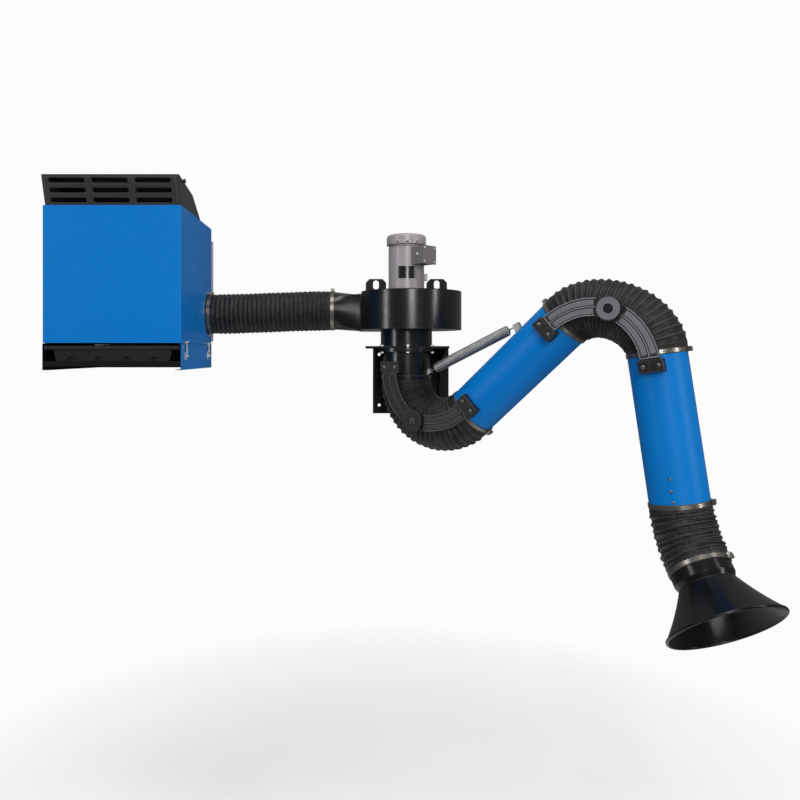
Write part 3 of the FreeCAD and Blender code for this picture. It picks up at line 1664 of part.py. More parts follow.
def make_dust_tray():
    """Moulded tray with a rolled rim, drafted walls and half-round arches along its front foot."""
    body = new_body("dust_tray")
    rim_half = S.cabinet_width / 2 - 2 * S.sheet - S.tray_side_gap
    front = -S.cabinet_front
    back = front + S.tray_length
    low = S.floor_top + S.seat_gap
    half = rim_half - S.tray_side_step
    rim_top = S.tray_rim_bottom + S.tray_rim_height
    base = sketch_on(body, "XY_Plane", low)
    draw_rectangle(base, -half, front + S.tray_front_step * 2, half, back - S.tray_side_step)
    pad(body, base, rim_top - low, taper=S.tray_draft)
    rim = sketch_on(body, "XY_Plane", S.tray_rim_bottom)
    draw_rectangle(rim, -rim_half, front, rim_half, back)
    pad(body, rim, S.tray_rim_height)
    soften(body, S.tray_rim_round, lambda edge: straight_along(edge, X_AXIS)
           and near(edge.CenterOfMass.y, front))
    hollow = sketch_on(body, "XY_Plane", rim_top)
    draw_rectangle(hollow, S.tray_wall - half, front + S.tray_front_wall, half - S.tray_wall,
                   back - S.tray_side_step - S.tray_wall)
    pocket(body, hollow, rim_top - low - S.tray_wall)
    arches = sketch_on(body, "XZ_Plane", S.cabinet_front + S.overrun)
    for number in range(SCALLOPS):
        across = (number - (SCALLOPS - 1) / 2) * S.scallop_pitch
        draw_circle(arches, across, low, S.scallop_radius)
    pocket(body, arches, S.overrun + S.scallop_depth)
    body.Placement = cabinet_frame()
    return node("dust_tray", body)


# Side latches that hold the tray housing to the cover

LATCH_NAMES = ("right_front", "right_rear", "left_front", "left_rear")


def latch_frame(name):
    """Frame on the side's outer face at the latch's pin: X outwards, Z up."""
    side = 1 if name.startswith("right") else -1
    y = S.latch_front - S.cabinet_front
    if name.endswith("rear"):
        y = y + S.latch_pitch
    turn = Rotation(Z_AXIS, 0 if side > 0 else 180)
    return at(side * S.cabinet_width / 2 - S.cabinet_middle, y, S.latch_height, turn)


def make_latch_plates():
    """Fixed halves: base plates with pinned ears on the housing, keepers on the cover."""
    pieces = []
    ear_out = S.latch_pin_out + S.latch_hub_radius
    half = S.latch_width / 2 + S.side_gap
    for name in LATCH_NAMES:
        frame = latch_frame(name)
        width = 2 * (half + S.latch_ear)
        base = block(S.sheet, width, S.latch_base_height, frame * at(0, -width / 2, -S.latch_base_height / 2))
        ears = [block(ear_out, S.latch_ear, 2 * S.latch_hub_radius, frame * at(0, low, -S.latch_hub_radius))
                for low in (half, -half - S.latch_ear)]
        pin = cylinder(S.latch_pin_radius, width,
                       frame * at(S.latch_pin_out, -width / 2, 0) * about(X_AXIS, -90))
        pieces.append(fused(base, *ears, pin))
        keeper_low = S.latch_lever_length - S.latch_hook - S.latch_hook_gap - S.latch_keeper_height
        pieces.append(block(S.latch_keeper_depth, S.latch_width, S.latch_keeper_height,
                            frame * at(0, -S.latch_width / 2, keeper_low)))
    return node("latch_plates", group(*pieces))


def make_latch_lever(name):
    """Swing lever with a hook over the keeper and a finger tab."""
    body = new_body(f"latch_{name}")
    thick = S.latch_lever_thick
    inner = S.latch_pin_out - thick / 2
    outer = S.latch_pin_out + thick / 2
    hook = S.latch_lever_length - S.latch_hook
    side = sketch_on(body, "XZ_Plane", -S.latch_width / 2)
    draw(side, [
        (inner, 0),
        (outer, 0),
        (outer, hook),
        (outer + S.latch_tab, hook),
        (outer + S.latch_tab, S.latch_lever_length),
        (S.latch_hook_gap, S.latch_lever_length),
        (S.latch_hook_gap, hook),
        (inner, hook),
    ])
    pad(body, side, S.latch_width)
    hub = sketch_on(body, "XZ_Plane", -S.latch_width / 2)
    draw_circle(hub, S.latch_pin_out, 0, S.latch_hub_radius)
    pad(body, hub, S.latch_width)
    bore = sketch_on(body, "XZ_Plane", -S.latch_width / 2 - S.overrun)
    draw_circle(bore, S.latch_pin_out, 0, S.latch_pin_radius + S.run_gap)
    pocket(body, bore, S.latch_width + 2 * S.overrun, True)
    body.Placement = latch_frame(name)
    return node(f"latch_{name}", body)


# The whole assembly

make_wall_bracket()
make_swivel_race()
make_shelf_bolts()
make_neck_duct()
make_scroll()
make_outlet_transition()
make_lifting_lugs()
make_motor_frame()
make_motor_fan_cover()
make_terminal_box()
make_motor_side_block()
make_impeller()
make_motor_shaft()
make_rear_plenum()
make_inlet_collar()
make_wall_rails()
make_filter_cartridge()
make_cabinet_cover()
make_exhaust_grille()
make_tray_skirt()
make_dust_tray()
make_latch_plates()
for latch_name in LATCH_NAMES:
    make_latch_lever(latch_name)
make_duct_hose()
duct_cuff = S.duct_radius + S.hose_bore_gap + S.duct_hose_wall
blower_clamp = at(-S.transition_end - S.clamp_width - S.clamp_inset, -S.duct_wall_distance, outlet_height())
cabinet_clamp = at(S.cabinet_width / 2 - S.cabinet_middle + S.clamp_inset, -S.duct_wall_distance,
                   S.duct_height_at_cabinet)
node("duct_clamps", group(clamp(blower_clamp, duct_cuff, 0), clamp(cabinet_clamp, duct_cuff, 0)))
make_swivel_tube()
make_tube("upper_tube", upper_frame, S.upper_length)
make_tube("lower_tube", lower_frame, S.lower_length)
make_link_pair("shoulder_base_link", shoulder_base_frame, True, -1)
make_link_pair("shoulder_arm_link", shoulder_arm_frame, False, 1)
make_link_pair("elbow_upper_link", elbow_upper_frame, True, 1)
make_link_pair("elbow_lower_link", elbow_lower_frame, False, -1)
make_pivots("shoulder_pivots", shoulder_base_frame)
make_pivots("elbow_pivots", elbow_upper_frame)
SHOULDER_TURN = 90 + float(S.upper_elevation)
ELBOW_TURN = 90 + float(S.upper_elevation) - float(S.lower_lean)
swivel_tube_end = Vector(0, 0, float(S.swivel_end))
make_bend_hose("shoulder_hose", swivel_tube_end, -Z_AXIS, X_AXIS, SHOULDER_TURN, SHOULDER_RIBS,
               SHOULDER_PULL_SHARE)
make_bend_hose("elbow_hose", upper_end, along_upper, -across_upper, ELBOW_TURN, ELBOW_RIBS,
               ELBOW_PULL_SHARE)
make_hood_hose()
node("swivel_clamp", tube_end_clamp(swivel_frame * at(x=-S.clamp_width - 2 * S.clamp_inset), None, 180))
node("upper_tube_clamps", group(tube_end_clamp(upper_frame, None, 180),
                                tube_end_clamp(upper_frame, S.upper_length, 0)))
node("lower_tube_clamps", group(tube_end_clamp(lower_frame, None, 0),
                                tube_end_clamp(lower_frame, S.lower_length, 0)))
node("hood_clamp", clamp(hood_frame * at(x=S.hood_neck_start + S.clamp_inset),
                         S.tube_radius + S.hose_bore_gap + S.hose_wall, 0))
make_counter_spring()
make_spring_hooks()
make_hood_yoke()
make_gimbal_ring()
make_hood_stirrup()
make_hood_shell()

doc.recompute()
failed = [item for item in doc.Objects if "Invalid" in item.State or "Error" in item.State]
if failed:
    owners = [f"{item.Label} in {[user.Label for user in item.InListRecursive]}" for item in failed]
    raise RuntimeError(f"failed: {owners}")
os.makedirs("parts", exist_ok=True)
for item in nodes:
    if item.Shape.isNull() or not item.Shape.isValid():
        raise RuntimeError(f"{item.Label} has no valid shape")
for item in nodes:
    item.Shape.exportStep(os.path.join("parts", f"{item.Label}.step"))
print(len(nodes), "sub-parts written")
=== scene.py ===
import json
import math

import bmesh
import bpy
from mathutils import Matrix, Vector


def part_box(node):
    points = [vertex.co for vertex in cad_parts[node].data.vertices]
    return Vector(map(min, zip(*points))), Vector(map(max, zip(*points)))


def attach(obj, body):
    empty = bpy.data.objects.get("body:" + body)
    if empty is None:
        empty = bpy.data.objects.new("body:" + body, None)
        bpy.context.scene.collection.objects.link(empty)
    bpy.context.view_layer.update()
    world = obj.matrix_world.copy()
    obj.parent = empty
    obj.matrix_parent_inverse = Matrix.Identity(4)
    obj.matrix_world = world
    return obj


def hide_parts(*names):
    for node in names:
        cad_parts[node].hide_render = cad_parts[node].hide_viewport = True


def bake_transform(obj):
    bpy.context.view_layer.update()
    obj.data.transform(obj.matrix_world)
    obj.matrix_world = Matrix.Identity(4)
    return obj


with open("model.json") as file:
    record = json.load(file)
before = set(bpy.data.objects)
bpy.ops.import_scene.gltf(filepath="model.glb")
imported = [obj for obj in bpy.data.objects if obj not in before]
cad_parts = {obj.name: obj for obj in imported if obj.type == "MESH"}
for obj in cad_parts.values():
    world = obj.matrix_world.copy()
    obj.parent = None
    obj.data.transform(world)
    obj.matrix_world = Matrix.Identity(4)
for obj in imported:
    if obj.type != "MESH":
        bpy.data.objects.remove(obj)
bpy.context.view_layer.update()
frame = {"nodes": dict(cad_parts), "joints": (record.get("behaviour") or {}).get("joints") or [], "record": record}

# Sizes in metres and angles of the CAD model, and of the hoses and the spring that stand for its nodes
TUBE_RADIUS = 0.095
LINK_REACH = 0.152
LINK_OFFSET = 0.102
LINK_INSET = 0.031
LINK_FOOT = 0.042
LINK_UNDER = 0.108
LINK_THICK = 0.012
LINK_GAP = 0.0005
LINK_WIDTH = 0.062
LINK_RIB = 0.005
LINK_DISC_RISE = 0.003
UPPER_ELEVATION = math.radians(42.9)
LOWER_LEAN = math.radians(8.2)
UPPER_LENGTH = 0.508
LOWER_LENGTH = 0.515
HOSE_CUFF = 0.018
ARM_HOSE_RADII = tuple(TUBE_RADIUS + rise for rise in (0.0003, 0.0023, 0.0078))
ARM_GATHER = 0.0009
HOOD_GATHER = 0.0024
HOOD_NECK_DROP = 0.106
HOOD_TILT = math.radians(22.46)
HOOD_SWAY = math.radians(25.14)
DUCT_RADIUS = 0.079
DUCT_CREST = DUCT_RADIUS + 0.0059
DUCT_RADII = (DUCT_RADIUS + 0.0003, DUCT_RADIUS + 0.0023, DUCT_CREST)
DUCT_GATHER = 0.0006
SPRING_COIL = 0.0174
SPRING_WIRE = 0.0028
SPRING_LEAD = 0.022
SPRING_LOW = (0.112, 0.047)
SPRING_HIGH = (0.348, 0.118)
SHOULDER_RIBS = 22
ELBOW_RIBS = 22
HOOD_PLEATS = 10
DUCT_RIBS = 26
SPRING_TURNS = 52
SHOULDER_PULL = 1.05
ELBOW_PULL = 0.86
HOOD_HOSE_PULL = 0.9
SPRING_SAMPLES = 22
WIRE_SIDES = 10

# Places of the arm, worked out from the record's joints
joints = {joint["name"]: joint for joint in frame["joints"]}
UP = Vector((0, 0, 1))
arm_side = Vector(joints["shoulder_tilt"]["axis"])
arm_out = arm_side.cross(UP)
swivel_axis = Vector(joints["arm_swivel"]["pos_m"])
shoulder = Vector(joints["shoulder_tilt"]["pos_m"])
elbow = Vector(joints["elbow_fold"]["pos_m"])
hood_joint = Vector(joints["hood_tilt"]["pos_m"])
along_upper = arm_out * math.cos(UPPER_ELEVATION) + UP * math.sin(UPPER_ELEVATION)
across_upper = UP * math.cos(UPPER_ELEVATION) - arm_out * math.sin(UPPER_ELEVATION)
along_lower = arm_out * math.sin(LOWER_LEAN) - UP * math.cos(LOWER_LEAN)
across_lower = arm_out * math.cos(LOWER_LEAN) + UP * math.sin(LOWER_LEAN)
swivel_end = shoulder - arm_out * LINK_OFFSET + UP * LINK_REACH
upper_start = shoulder + along_upper * LINK_REACH - across_upper * LINK_OFFSET
upper_end = upper_start + along_upper * UPPER_LENGTH
lower_start = elbow + along_lower * LINK_REACH + across_lower * LINK_OFFSET
lower_end = lower_start + along_lower * LOWER_LENGTH
tilt_axis = (along_lower * math.cos(HOOD_TILT) + across_lower * math.sin(HOOD_TILT)).normalized()
hood_axis = (tilt_axis * math.cos(HOOD_SWAY) - arm_side * math.sin(HOOD_SWAY)).normalized()


# Materials

EDGE_RADIUS = 0.0014
EDGE_SAMPLES = 4
EDGE_WEAR_AND_HIGHLIGHT = 0.7
EDGE_MATCH = (0.80, 0.97)
PAINT_SHADE = 0.93
PAINT_ROUGH_SPAN = 0.15
METAL_ROUGH_SPAN = 0.2
SKIN_DEPTH = 0.001
FINE_DEPTH = 0.0006
WEAVE_SCALE = 1400.0
DUST_RANGE = (0.42, 0.72)
CREST_HIGHLIGHT_RANGE = (0.51, 0.60)
PATCH_EDGE = 0.0001


def node_tree(name):
    """New material, its tree, its principled shader, and the object's own coordinates."""
    material = bpy.data.materials.new(name)
    material.use_nodes = True
    tree = material.node_tree
    shader = tree.nodes["Principled BSDF"]
    place = tree.nodes.new("ShaderNodeTexCoord")
    return material, tree, shader, place.outputs["Object"]


def noise(tree, place, scale, detail=3.0):
    """Noise in metres of the row frame."""
    texture = tree.nodes.new("ShaderNodeTexNoise")
    texture.inputs["Scale"].default_value = scale
    texture.inputs["Detail"].default_value = detail
    tree.links.new(place, texture.inputs["Vector"])
    return texture.outputs["Fac"]


def spread(tree, value, low, high, start=0.3, stop=0.7):
    """Maps a texture's middle range onto low to high."""
    item = tree.nodes.new("ShaderNodeMapRange")
    item.inputs["From Min"].default_value = start
    item.inputs["From Max"].default_value = stop
    item.inputs["To Min"].default_value = low
    item.inputs["To Max"].default_value = high
    tree.links.new(value, item.inputs["Value"])
    return item.outputs["Result"]


def mix_colours(tree, share, first, second):
    """Mix of two colours; each is a colour or another node's output."""
    item = tree.nodes.new("ShaderNodeMix")
    item.data_type = "RGBA"
    tree.links.new(share, item.inputs["Factor"])
    for socket, colour in (("A", first), ("B", second)):
        target = [entry for entry in item.inputs if entry.name == socket and entry.type == "RGBA"][0]
        if isinstance(colour, tuple):
            target.default_value = (*colour, 1)
        else:
            tree.links.new(colour, target)
    return [entry for entry in item.outputs if entry.type == "RGBA"][0]


def bump(tree, shader, height, strength, distance, under=None):
    """Bump on the shader's normal; under is an earlier bump's normal."""
    item = tree.nodes.new("ShaderNodeBump")
    item.inputs["Strength"].default_value = strength
    item.inputs["Distance"].default_value = distance
    tree.links.new(height, item.inputs["Height"])
    if under is not None:
        tree.links.new(under, item.inputs["Normal"])
    tree.links.new(item.outputs["Normal"], shader.inputs["Normal"])
    return item.outputs["Normal"]


def soft_edges(tree, radius):
    """Rounded normal along sharp edges, and the share of the lighter edge colour on them: wear on paint, and a
    painted highlight on the tray, the links and the hood.
    """
    rounded = tree.nodes.new("ShaderNodeBevel")
    rounded.samples = EDGE_SAMPLES
    rounded.inputs["Radius"].default_value = radius
    geometry = tree.nodes.new("ShaderNodeNewGeometry")
    match = tree.nodes.new("ShaderNodeVectorMath")
    match.operation = "DOT_PRODUCT"
    tree.links.new(rounded.outputs["Normal"], match.inputs[0])
    tree.links.new(geometry.outputs["Normal"], match.inputs[1])
    return rounded.outputs["Normal"], spread(tree, match.outputs["Value"], EDGE_WEAR_AND_HIGHLIGHT, 0.0, *EDGE_MATCH)


def uneven_gloss(tree, shader, pattern, rough, span):
    """Roughness that a pattern varies by a share, the span, each way."""
    tree.links.new(spread(tree, pattern, rough * (1 - span), rough * (1 + span)), shader.inputs["Roughness"])


def painted(name, colour, wear_and_highlight_colour, rough, level, peel=0.04, black_within=None):
    """Painted metal with faint mottling, orange peel and lighter edges.

    black_within is a middle and a half width along X inside which the paint is black."""
    material, tree, shader, place = node_tree(name)
    darker = tuple(part * PAINT_SHADE for part in colour)
    cloud = spread(tree, noise(tree, place, scale=5.0), 0.0, 1.0)
    skin = mix_colours(tree, cloud, darker, colour)
    rounded, wear_and_highlight = soft_edges(tree, EDGE_RADIUS)
    skin = mix_colours(tree, wear_and_highlight, skin, wear_and_highlight_colour)
    if black_within is not None:
        skin = mix_colours(tree, distance_share(tree, place, *black_within), BLACK, skin)
    tree.links.new(skin, shader.inputs["Base Color"])
    uneven_gloss(tree, shader, noise(tree, place, scale=38.0, detail=5.0), rough, PAINT_ROUGH_SPAN)
    shader.inputs["Specular IOR Level"].default_value = level
    bump(tree, shader, noise(tree, place, scale=420.0, detail=2.0), peel, SKIN_DEPTH, rounded)
    return material


def distance_share(tree, place, middle, half):
    """0 within the half width of the middle along X, and 1 beyond it."""
    axes = tree.nodes.new("ShaderNodeSeparateXYZ")
    tree.links.new(place, axes.inputs["Vector"])
    away = tree.nodes.new("ShaderNodeMath")
    away.operation = "SUBTRACT"
    away.inputs[1].default_value = middle
    tree.links.new(axes.outputs["X"], away.inputs[0])
    length = tree.nodes.new("ShaderNodeMath")
    length.operation = "ABSOLUTE"
    tree.links.new(away.outputs["Value"], length.inputs[0])
    return spread(tree, length.outputs["Value"], 0.0, 1.0, half - PATCH_EDGE, half + PATCH_EDGE)


def plastic(name, colour, wear_and_highlight_colour, rough, grain, grain_strength, level=0.5, edge=EDGE_RADIUS):
    """Moulded plastic with a fine grain and lighter edges, which on the tray, the links and the hood are a painted
    highlight.
    """
    material, tree, shader, place = node_tree(name)
    lighter = tuple(part * 1.2 + 0.001 for part in colour)
    cloud = spread(tree, noise(tree, place, scale=9.0), 0.0, 1.0)
    skin = mix_colours(tree, cloud, colour, lighter)
    rounded, wear_and_highlight = soft_edges(tree, edge)
    tree.links.new(mix_colours(tree, wear_and_highlight, skin, wear_and_highlight_colour), shader.inputs["Base Color"])
    uneven_gloss(tree, shader, noise(tree, place, scale=55.0, detail=4.0), rough, PAINT_ROUGH_SPAN)
    shader.inputs["Specular IOR Level"].default_value = level
    bump(tree, shader, noise(tree, place, grain), grain_strength, SKIN_DEPTH, rounded)
    return material


def metal(name, colour, stain, rough, metallic=0.9, scale=240.0):
    """Bare or plated metal with stains and uneven gloss."""
    material, tree, shader, place = node_tree(name)
    cloud = spread(tree, noise(tree, place, scale=26.0, detail=5.0), 0.0, 1.0)
    tree.links.new(mix_colours(tree, cloud, colour, stain), shader.inputs["Base Color"])
    grain = noise(tree, place, scale)
    uneven_gloss(tree, shader, grain, rough, METAL_ROUGH_SPAN)
    shader.inputs["Metallic"].default_value = metallic
    bump(tree, shader, grain, strength=0.05, distance=0.0005)
    return material


def hose_cloth(name, colour, pale, crest, rough, level=0.2, crease=(150.0, 0.45, 0.002)):
    """Coated hose fabric: fine weave, creases, pale dust, and crests lightened over the wire as a painted
    highlight.

    crease is the creases' scale, strength and depth; crest is the colour of the painted highlight on the crests."""
    material, tree, shader, place = node_tree(name)
    dust = spread(tree, noise(tree, place, scale=34.0, detail=6.0), 0.0, 1.0, *DUST_RANGE)
    skin = mix_colours(tree, dust, colour, pale)
    geometry = tree.nodes.new("ShaderNodeNewGeometry")
    # Painted highlight: where the mesh is pointiest, on the crests, the colour moves towards the crest colour
    crest_highlight = spread(tree, geometry.outputs["Pointiness"], 0.0, 1.0, *CREST_HIGHLIGHT_RANGE)
    tree.links.new(mix_colours(tree, crest_highlight, skin, crest), shader.inputs["Base Color"])
    uneven_gloss(tree, shader, noise(tree, place, scale=70.0, detail=4.0), rough, METAL_ROUGH_SPAN)
    shader.inputs["Specular IOR Level"].default_value = level
    shader.inputs["Sheen Weight"].default_value = 0.03
    shader.inputs["Sheen Roughness"].default_value = 0.4
    scale, strength, depth = crease
    creases = bump(tree, shader, noise(tree, place, scale, detail=5.0), strength, depth)
    weave = noise(tree, place, WEAVE_SCALE, detail=1.0)
    bump(tree, shader, weave, strength=0.25, distance=FINE_DEPTH, under=creases)
    return material


def paper(name, colour, stain):
    """Filter paper with fibres and grey dust."""
    material, tree, shader, place = node_tree(name)
    dust = spread(tree, noise(tree, place, scale=18.0, detail=6.0), 0.0, 0.7)
    tree.links.new(mix_colours(tree, dust, colour, stain), shader.inputs["Base Color"])
    fibre = noise(tree, place, scale=600.0, detail=4.0)
    tree.links.new(spread(tree, fibre, 0.8, 1.0), shader.inputs["Roughness"])
    bump(tree, shader, fibre, strength=0.3, distance=FINE_DEPTH)
    return material


BLUE = (0.0002, 0.130, 0.410)
BLUE_WORN = (0.02, 0.20, 0.60)
BLUE_GLOSS = {"rough": 0.40, "level": 0.11}
BLACK = (0.0045, 0.0043, 0.0048)
BLACK_WORN = (0.020, 0.020, 0.022)
SKIRT_CENTRE = -1.071
SKIRT_HALF = 0.2472

finishes = {
    "blue_paint": painted("blue_paint", BLUE, BLUE_WORN, **BLUE_GLOSS),
    "black_paint": painted("black_paint", BLACK, BLACK_WORN, rough=0.22, level=0.42, peel=0.012),
    "motor_grey": painted("motor_grey", (0.245, 0.225, 0.234), (0.29, 0.27, 0.28), rough=0.34, level=0.4,
                          peel=0.02),
    "zinc_steel": metal("zinc_steel", (0.60, 0.60, 0.58), (0.47, 0.46, 0.43), rough=0.40, metallic=0.75),
    "clamp_steel": metal("clamp_steel", (0.21, 0.20, 0.185), (0.14, 0.125, 0.105), rough=0.28),
    "galvanised": metal("galvanised", (0.62, 0.63, 0.64), (0.52, 0.53, 0.54), rough=0.5, metallic=0.45,
                        scale=90.0),
    "filter_paper": paper("filter_paper", (0.72, 0.68, 0.58), (0.38, 0.36, 0.33)),
    "charcoal_plastic": plastic("charcoal_plastic", (0.020, 0.020, 0.023), (0.06, 0.06, 0.065), rough=0.46,
                                grain=900.0, grain_strength=0.16, level=0.24),
    # The tray's lighter edge colour is a painted highlight along its lip and scallops
    "tray_black": plastic("tray_black", (0.0125, 0.0125, 0.0135), (0.11, 0.11, 0.115), rough=0.52,
                          grain=700.0, grain_strength=0.10, level=0.11),
    # The links' lighter edge colour is a painted highlight along their edges
    "link_plastic": plastic("link_plastic", (0.006, 0.006, 0.0065), (0.16, 0.165, 0.17), rough=0.42,
                            grain=1000.0, grain_strength=0.12, level=0.24, edge=0.0024),
    # The third colour of each hose is the painted highlight on its crests
    "hose_black": hose_cloth("hose_black", (0.0045, 0.004, 0.0045), (0.016, 0.015, 0.0145),
                             (0.055, 0.053, 0.052), rough=0.5),
    # The hood's lighter edge colour is a painted highlight on its rim
    "hood_gloss": plastic("hood_gloss", (0.0032, 0.0032, 0.0036), (0.09, 0.09, 0.092), rough=0.20,
                          grain=260.0, grain_strength=0.02, level=0.21),
}
# The third colour is the painted highlight on the hood hose's crests
hood_cloth = hose_cloth("hood_cloth", (0.004, 0.0036, 0.004), (0.013, 0.012, 0.0115), (0.050, 0.048, 0.047),
                        rough=0.40, level=0.27, crease=(75.0, 0.8, 0.006))
spring_zinc = metal("spring_zinc", (0.36, 0.36, 0.37), (0.26, 0.26, 0.26), rough=0.38, metallic=0.85)

for part in frame["record"]["subparts"]:
    mesh = frame["nodes"][part["node"]].data
    mesh.materials.clear()
    mesh.materials.append(finishes[part["material_slot"]])


def repaint(material, *nodes):
    """Another material on some of the CAD nodes."""
    for name in nodes:
        frame["nodes"][name].data.materials[0] = material


repaint(painted("skirt_paint", BLUE, BLUE_WORN, **BLUE_GLOSS, black_within=(SKIRT_CENTRE, SKIRT_HALF)),
        "tray_skirt")
repaint(painted("dull_black", BLACK, BLACK_WORN, rough=0.50, level=0.12),
        "lifting_lugs", "wall_bracket", "scroll_top_plate")
# The terminal box is a darker grey than the motor as painted shade, for its side turned away from the lamps
repaint(painted("terminal_box_shaded_grey", (0.120, 0.110, 0.115), (0.16, 0.15, 0.155), rough=0.42, level=0.3, peel=0.02),
        "terminal_box", "terminal_cover")
repaint(metal("hook_steel", (0.26, 0.26, 0.25), (0.16, 0.155, 0.145), rough=0.38, metallic=0.75),
        "spring_hook_lower", "spring_hook_upper")


# Mesh helpers

def finished(name, mesh_work, slot_name, sharp_degrees=None):
    """Object from a bmesh, with its material and smooth shading."""
    bmesh.ops.recalc_face_normals(mesh_work, faces=mesh_work.faces)
    mesh = bpy.data.meshes.new(name)
    mesh_work.to_mesh(mesh)
    mesh_work.free()
    mesh.materials.append(finishes[slot_name])
    mesh.polygons.foreach_set("use_smooth", [True] * len(mesh.polygons))
    if sharp_degrees is not None:
        mesh.set_sharp_from_angle(angle=math.radians(sharp_degrees))
    piece = bpy.data.objects.new(name, mesh)
    bpy.context.scene.collection.objects.link(piece)
    return piece


def ring_points(centre, tangent, reference, radius, count):
    """Circle of points square to the tangent, starting towards the reference."""
    first = (reference - tangent * reference.dot(tangent)).normalized()
    second = tangent.cross(first)
    points = []
    for number in range(count):
        angle = 2 * math.pi * number / count
        points.append(centre + (first * math.cos(angle) + second * math.sin(angle)) * radius)
    return points


def bridge(mesh_work, loops, closed):
    """Quads between following loops of vertices, and from the last back to the first if closed."""
    count = len(loops[0])
    pairs = list(zip(loops, loops[1:]))
    if closed:
        pairs.append((loops[-1], loops[0]))
    for low, high in pairs:
        for number in range(count):
            after = (number + 1) % count
            mesh_work.faces.new((low[number], low[after], high[after], high[number]))


def closed_strip(mesh_work, loops):
    """Solid of following loops with a face over each end."""
    bridge(mesh_work, loops, False)
    mesh_work.faces.new(loops[0])
    mesh_work.faces.new(loops[-1])


def turned_loops(mesh_work, profile, place, count):
    """One round loop of vertices for each (radius, height) pair of a profile."""
    loops = []
    for radius, height in profile:
        loop = []
        for number in range(count):
            angle = 2 * math.pi * number / count
            point = Vector((radius * math.cos(angle), radius * math.sin(angle), height))
            loop.append(mesh_work.verts.new(place @ point))
        loops.append(loop)
    return loops


def lathe(mesh_work, profile, place, count=28):
    """Turned solid with a flat face over each end of its profile."""
    closed_strip(mesh_work, turned_loops(mesh_work, profile, place, count))


def looking(origin, direction):
    """Matrix whose Z axis points along the direction."""
    turn = direction.to_track_quat("Z", "Y").to_matrix().to_4x4()
    return Matrix.Translation(origin) @ turn


# Hoses

RING_COUNT = 80
RIB_SAMPLES = 10
SAG_SHAPE = 0.8
END_RIBS = 1.6
BORE_STEP = 5
# Waves of the crumpled cloth: how many round the hose, their twist for each rib, and their start
CRUMPLE_WAVES = ((5, 2.4, 0), (3, -1.7, 0.6))
SHIFT_WAVE = (2, 1.9, 0)


def rib_height(share):
    """Height over the valley: a wire's narrow crest, with cloth that sags between the wires."""
    return 1 - math.sin(math.pi * ((share + 0.5) % 1)) ** SAG_SHAPE


def wave(angle, turns, count, twist, start):
    """Height of a wave at an angle round the hose and a number of ribs along it."""
    return math.sin(count * angle + twist * turns + start)


def hose_ring(mesh_work, path, distance, radius, reference, gather, turns):
    """Ring of the hose's cloth; gather is how far it crumples in and out, and along the hose."""
    centre, tangent = path(distance)
    ring = []
    for number, point in enumerate(ring_points(centre, tangent, reference, radius, RING_COUNT)):
        angle = 2 * math.pi * number / RING_COUNT
        crumple = math.prod(wave(angle, turns, *shape) for shape in CRUMPLE_WAVES)
        shift = wave(angle, turns, *SHIFT_WAVE)
        point += (point - centre).normalized() * (gather * crumple) + tangent * (gather * shift)
        ring.append(mesh_work.verts.new(point))
    return ring


def hose_piece(name, path, length, ribs, radii, reference, starts_plain, ends_plain, gather):
    """Ribbed hose with its clear bore; a plain end has a smooth cuff, and its first ribs are lower."""
    bore, valley, crest = radii
    first = HOSE_CUFF if starts_plain else 0.0
    last = length - (HOSE_CUFF if ends_plain else 0.0)
    pitch = (last - first) / ribs
    mesh_work = bmesh.new()
    loops = []
    inside = []
    if starts_plain:
        loops.append(hose_ring(mesh_work, path, 0.0, valley, reference, 0, 0))
        inside.append(0.0)
    for step in range(ribs * RIB_SAMPLES + 1):
        turns = step / RIB_SAMPLES
        low = min(1.0, turns / END_RIBS) if starts_plain else 1.0
        high = min(1.0, (ribs - turns) / END_RIBS) if ends_plain else 1.0
        height = rib_height(turns % 1) * min(low, high)
        calm = min(1.0, turns, ribs - turns)
        distance = first + turns * pitch
        loops.append(hose_ring(mesh_work, path, distance, valley + (crest - valley) * height, reference,
                               gather * calm, turns))
        if step % BORE_STEP == 0:
            inside.append(distance)
    if ends_plain:
        loops.append(hose_ring(mesh_work, path, length, valley, reference, 0, 0))
        inside.append(length)
    for distance in reversed(inside):
        loops.append(hose_ring(mesh_work, path, distance, bore, reference, 0, 0))
    bridge(mesh_work, loops, True)
    return finished(name, mesh_work, "hose_black")


def cuffed_path(start, start_way, end, end_way, pull, free):
    """Path by distance: a straight cuff, a smooth curve over the free length, a straight cuff."""

    def path(distance):
        along = distance - HOSE_CUFF
        share = min(max(along / free, 0), 1)
        square, cube = share ** 2, share ** 3
        point = (start * (2 * cube - 3 * square + 1) + start_way * pull * (cube - 2 * square + share)
                 + end * (3 * square - 2 * cube) + end_way * pull * (cube - square))
        tangent = (start * (6 * square - 6 * share) + start_way * pull * (3 * square - 4 * share + 1)
                   + end * (6 * share - 6 * square) + end_way * pull * (3 * square - 2 * share)).normalized()
        return point + tangent * (along - share * free), tangent

    return path


def make_bend_hose(name, node, start, direction, inner, turn, ribs, pull_share):
    """Hose over a link joint, on the same curve as the CAD model's."""
    radius = LINK_OFFSET + LINK_REACH / math.tan(turn / 2)
    end = start + (direction * math.sin(turn) + inner * (1 - math.cos(turn))) * radius
    end_way = direction * math.cos(turn) + inner * math.sin(turn)
    free = radius * turn
    pull = 4 * math.tan(turn / 4) * radius * pull_share
    path = cuffed_path(start, direction, end, end_way, pull, free)
    piece = hose_piece(name, path, free + 2 * HOSE_CUFF, ribs, ARM_HOSE_RADII, arm_side, True, True,
                       ARM_GATHER)
    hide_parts(node)
    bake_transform(piece)


